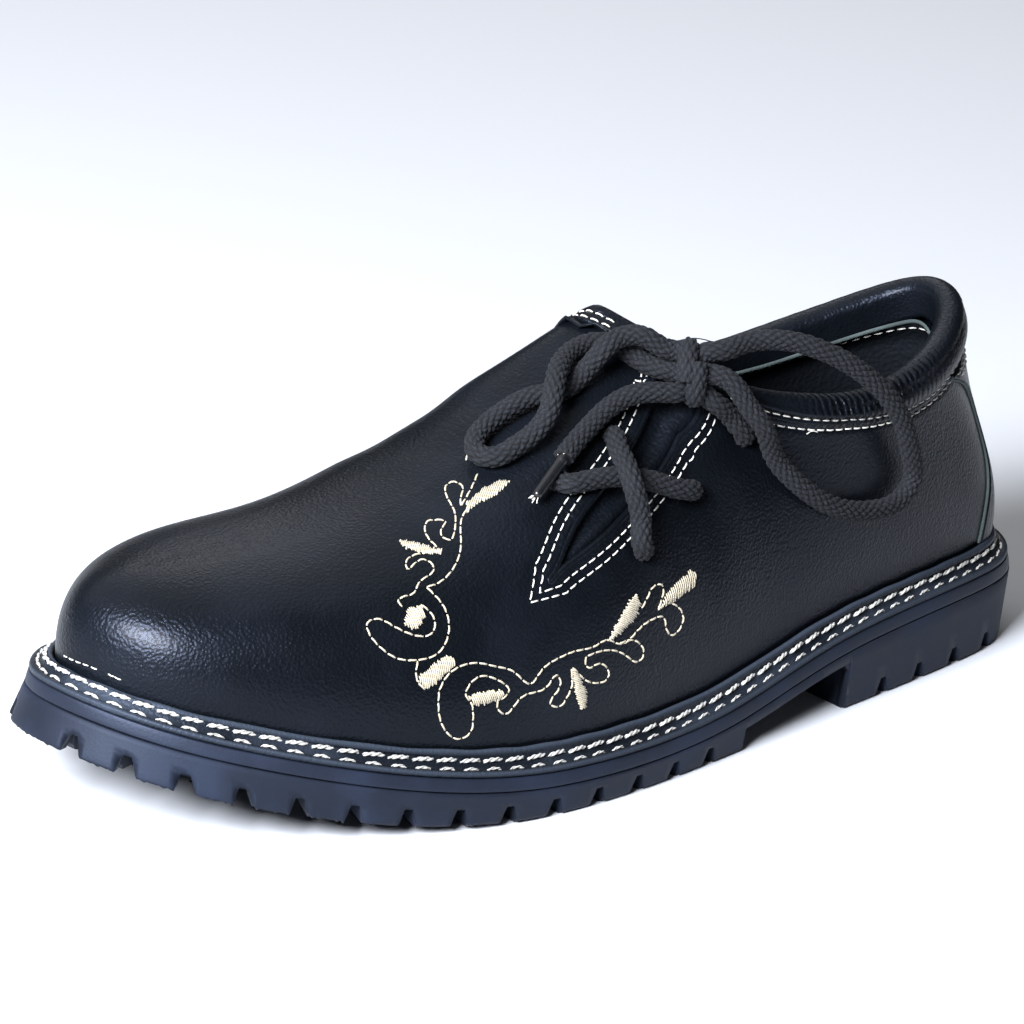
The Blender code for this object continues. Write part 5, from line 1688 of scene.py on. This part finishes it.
def addBackStrap():
    # overlay on the heel: the leather's surface raised by the strap's thickness, falling steeply to
    # below the leather at its edges; height = thickness times the root of the distance to the edge
    share = np.linspace(0.0, backStrap["top"], 90)
    across = np.sin(np.linspace(-np.pi / 2, np.pi / 2, 61))
    ways = 0.5 + strapHalf(share)[:, None] * across[None, :]
    shares = np.broadcast_to(share[:, None], ways.shape)
    gap = np.minimum((1 - np.abs(across))[None, :] * strapHalf(share)[:, None] * perimeter,
                     (backStrap["top"] - shares) * backStrap["height"])
    rise = np.sqrt(np.clip(gap / backStrap["fall"], 0, 1))
    lift = (backStrap["thickness"] + backStrap["sink"]) * rise - backStrap["sink"]
    seams = (backStrap["seam"], backStrap["seam"] + backStrap["seamGap"])
    for seam in seams:
        lift = lift - backStrap["seamDip"] * bell(gap - seam, 0.0006)
    place, normal = leatherAt(ways, shares)
    points = place + normal * lift[..., None]
    made = addPiece("backStrapLeather", points, gridFaces(*ways.shape)[:, ::-1], calf)
    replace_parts(made, "back_strap")
    lines = []
    fine = np.linspace(0.02, backStrap["top"], 160)
    sides = [leatherAt(0.5 + side * strapHalf(fine), fine) for side in (-1, 1)]
    paths = np.array([place + normal * backStrap["edgeLift"] for place, normal in sides])
    edges = addTubes("strapCutEdge", paths, np.array([normal for _, normal in sides]), backStrap["edge"],
                     cutEdge, sides=8)
    for seam in seams:
        level = np.full(90, backStrap["top"] - seam / backStrap["height"])
        half = strapHalf(level)[0] - backStrap["seam"] / perimeter
        place, normal = leatherAt(0.5 + np.linspace(-half, half, 90), level)
        lines.append((place + normal * backStrap["thickness"], normal))
    addStitches("strapStitches", lines, seamThread)


addBackStrap()
print("back strap made")


gusset = {
    "margin": (0.012, 0.080),   # how far it reaches past the throat's edges: way, height share
    "depth": 0.0028,
    "frontGap": 0.0004,         # how far even its folds stay behind the leather
    "hiddenDepth": 0.0034,      # of its edges, which the leather covers
    "thickness": 0.0009,
    # place across the throat, height in metres and width of each fold
    "folds": ((0.30, 0.0017, 0.075), (0.56, 0.0021, 0.060), (0.78, 0.0012, 0.060)),
}


def addGusset():
    # soft leather behind the throat: rows across it from edge to edge, standing back by its depth, with
    # three long folds, each a narrow bell that dies out at the throat's point
    steps, across = 90, np.linspace(0, 1, 56)
    index = np.linspace(0, len(innerEdge) - 1, steps).astype(int)
    along = np.linspace(0, 1, steps)[:, None]
    margin = np.array(gusset["margin"]) * (0.45 + 0.55 * smoothstep(0, 0.25, along))
    first = innerEdge[index] - margin * (1, -1)
    last = outerEdge[index] + margin * (1, -1)
    spots = first[:, None] * (1 - across[None, :, None]) + last[:, None] * across[None, :, None]
    ways, shares = spots[..., 0], np.clip(spots[..., 1], 0.0, 0.97)
    lift = np.full(ways.shape, -gusset["depth"])
    for centre, height, width in gusset["folds"]:
        bend = centre + 0.05 * np.sin(along * 5 + centre * 9)
        lift = lift + height * bell(across[None, :] - bend, width) * smoothstep(0.05, 0.35, along)
    seen = (smoothstep(0.0, 0.16, across) * smoothstep(1.0, 0.84, across))[None, :]
    lift = np.minimum(lift, -gusset["frontGap"]) * seen - gusset["hiddenDepth"] * (1 - seen)
    place, normal = plainUpper(ways, shares), upperNormal(ways, shares)
    points = place + normal * lift[..., None]
    made = addPiece("gussetLeather", points, gridFaces(*ways.shape), gussetCalf)
    thicken(made, gusset["thickness"])
    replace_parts(made, "tongue")


addGusset()
print("gusset made")


lining = {
    "gap": 0.0007,
    "stations": 240,
    "rows": 40,
    "edge": 0.00055,       # radius of its cut edge
    "seam": 0.030,         # height share between that edge and the white stitch row
    "top": 0.955,          # height share it reaches at the vamp
    "lower": 0.055,        # and how much lower it stays round the ankle
    "ankleEnd": 0.69,      # way at which its edge on the inner side ends
}


def liningTop(ways):
    # how high the lining reaches: under the tucked roll round the ankle, higher at the vamp
    return lining["top"] - lining["lower"] * smoothstep(0.30, 0.37, sideWay(ways))


def liningAt(ways, shares):
    # the upper's place moved in by the wall's thickness and the gap, and the normal that points inwards
    place, normal = plainUpper(ways, shares), upperNormal(ways, shares)
    flip = np.where(normal[..., 2:] < -0.3, -1.0, 1.0)
    depth = wallAt(ways, shares) + lining["gap"]
    return place - normal * flip * depth[..., None], -normal * flip


def addLining():
    # inner skin: the upper's surface moved in by the wall's thickness, from the insole to its cut edge
    way = np.arange(lining["stations"]) / lining["stations"]
    share = np.linspace(-0.03, 1, lining["rows"])
    ways, shares = np.meshgrid(way, share, indexing="ij")
    shares = np.where(shares > 0, shares * liningTop(ways), shares)
    faces = gridFaces(*ways.shape, closeRows=True)[:, ::-1]
    made = addPiece("liningLeather", liningAt(ways, shares)[0], faces, liningCalf)
    ankle = np.linspace(outerEdge[-1, 0] + 0.01, lining["ankleEnd"], 700)
    place, normal = liningAt(ankle, liningTop(ankle))
    edge = addTubes("liningCutEdge", place[None], normal[None], lining["edge"], cutEdge, sides=10,
                    flatten=0.6)
    place, normal = liningAt(ankle, liningTop(ankle) - lining["seam"])
    addStitches("liningStitches", [(place, normal)], weltThread)


addLining()
print("lining made")


def finishKeptSolids():
    # the tread and the insole keep their solids and take their own finishes
    for node, finish in (("outsole", treadRubber), ("insole", insoleLeather)):
        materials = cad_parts[node].data.materials
        for index in range(len(materials)):
            materials[index] = finish


finishKeptSolids()
print("kept solids finished")
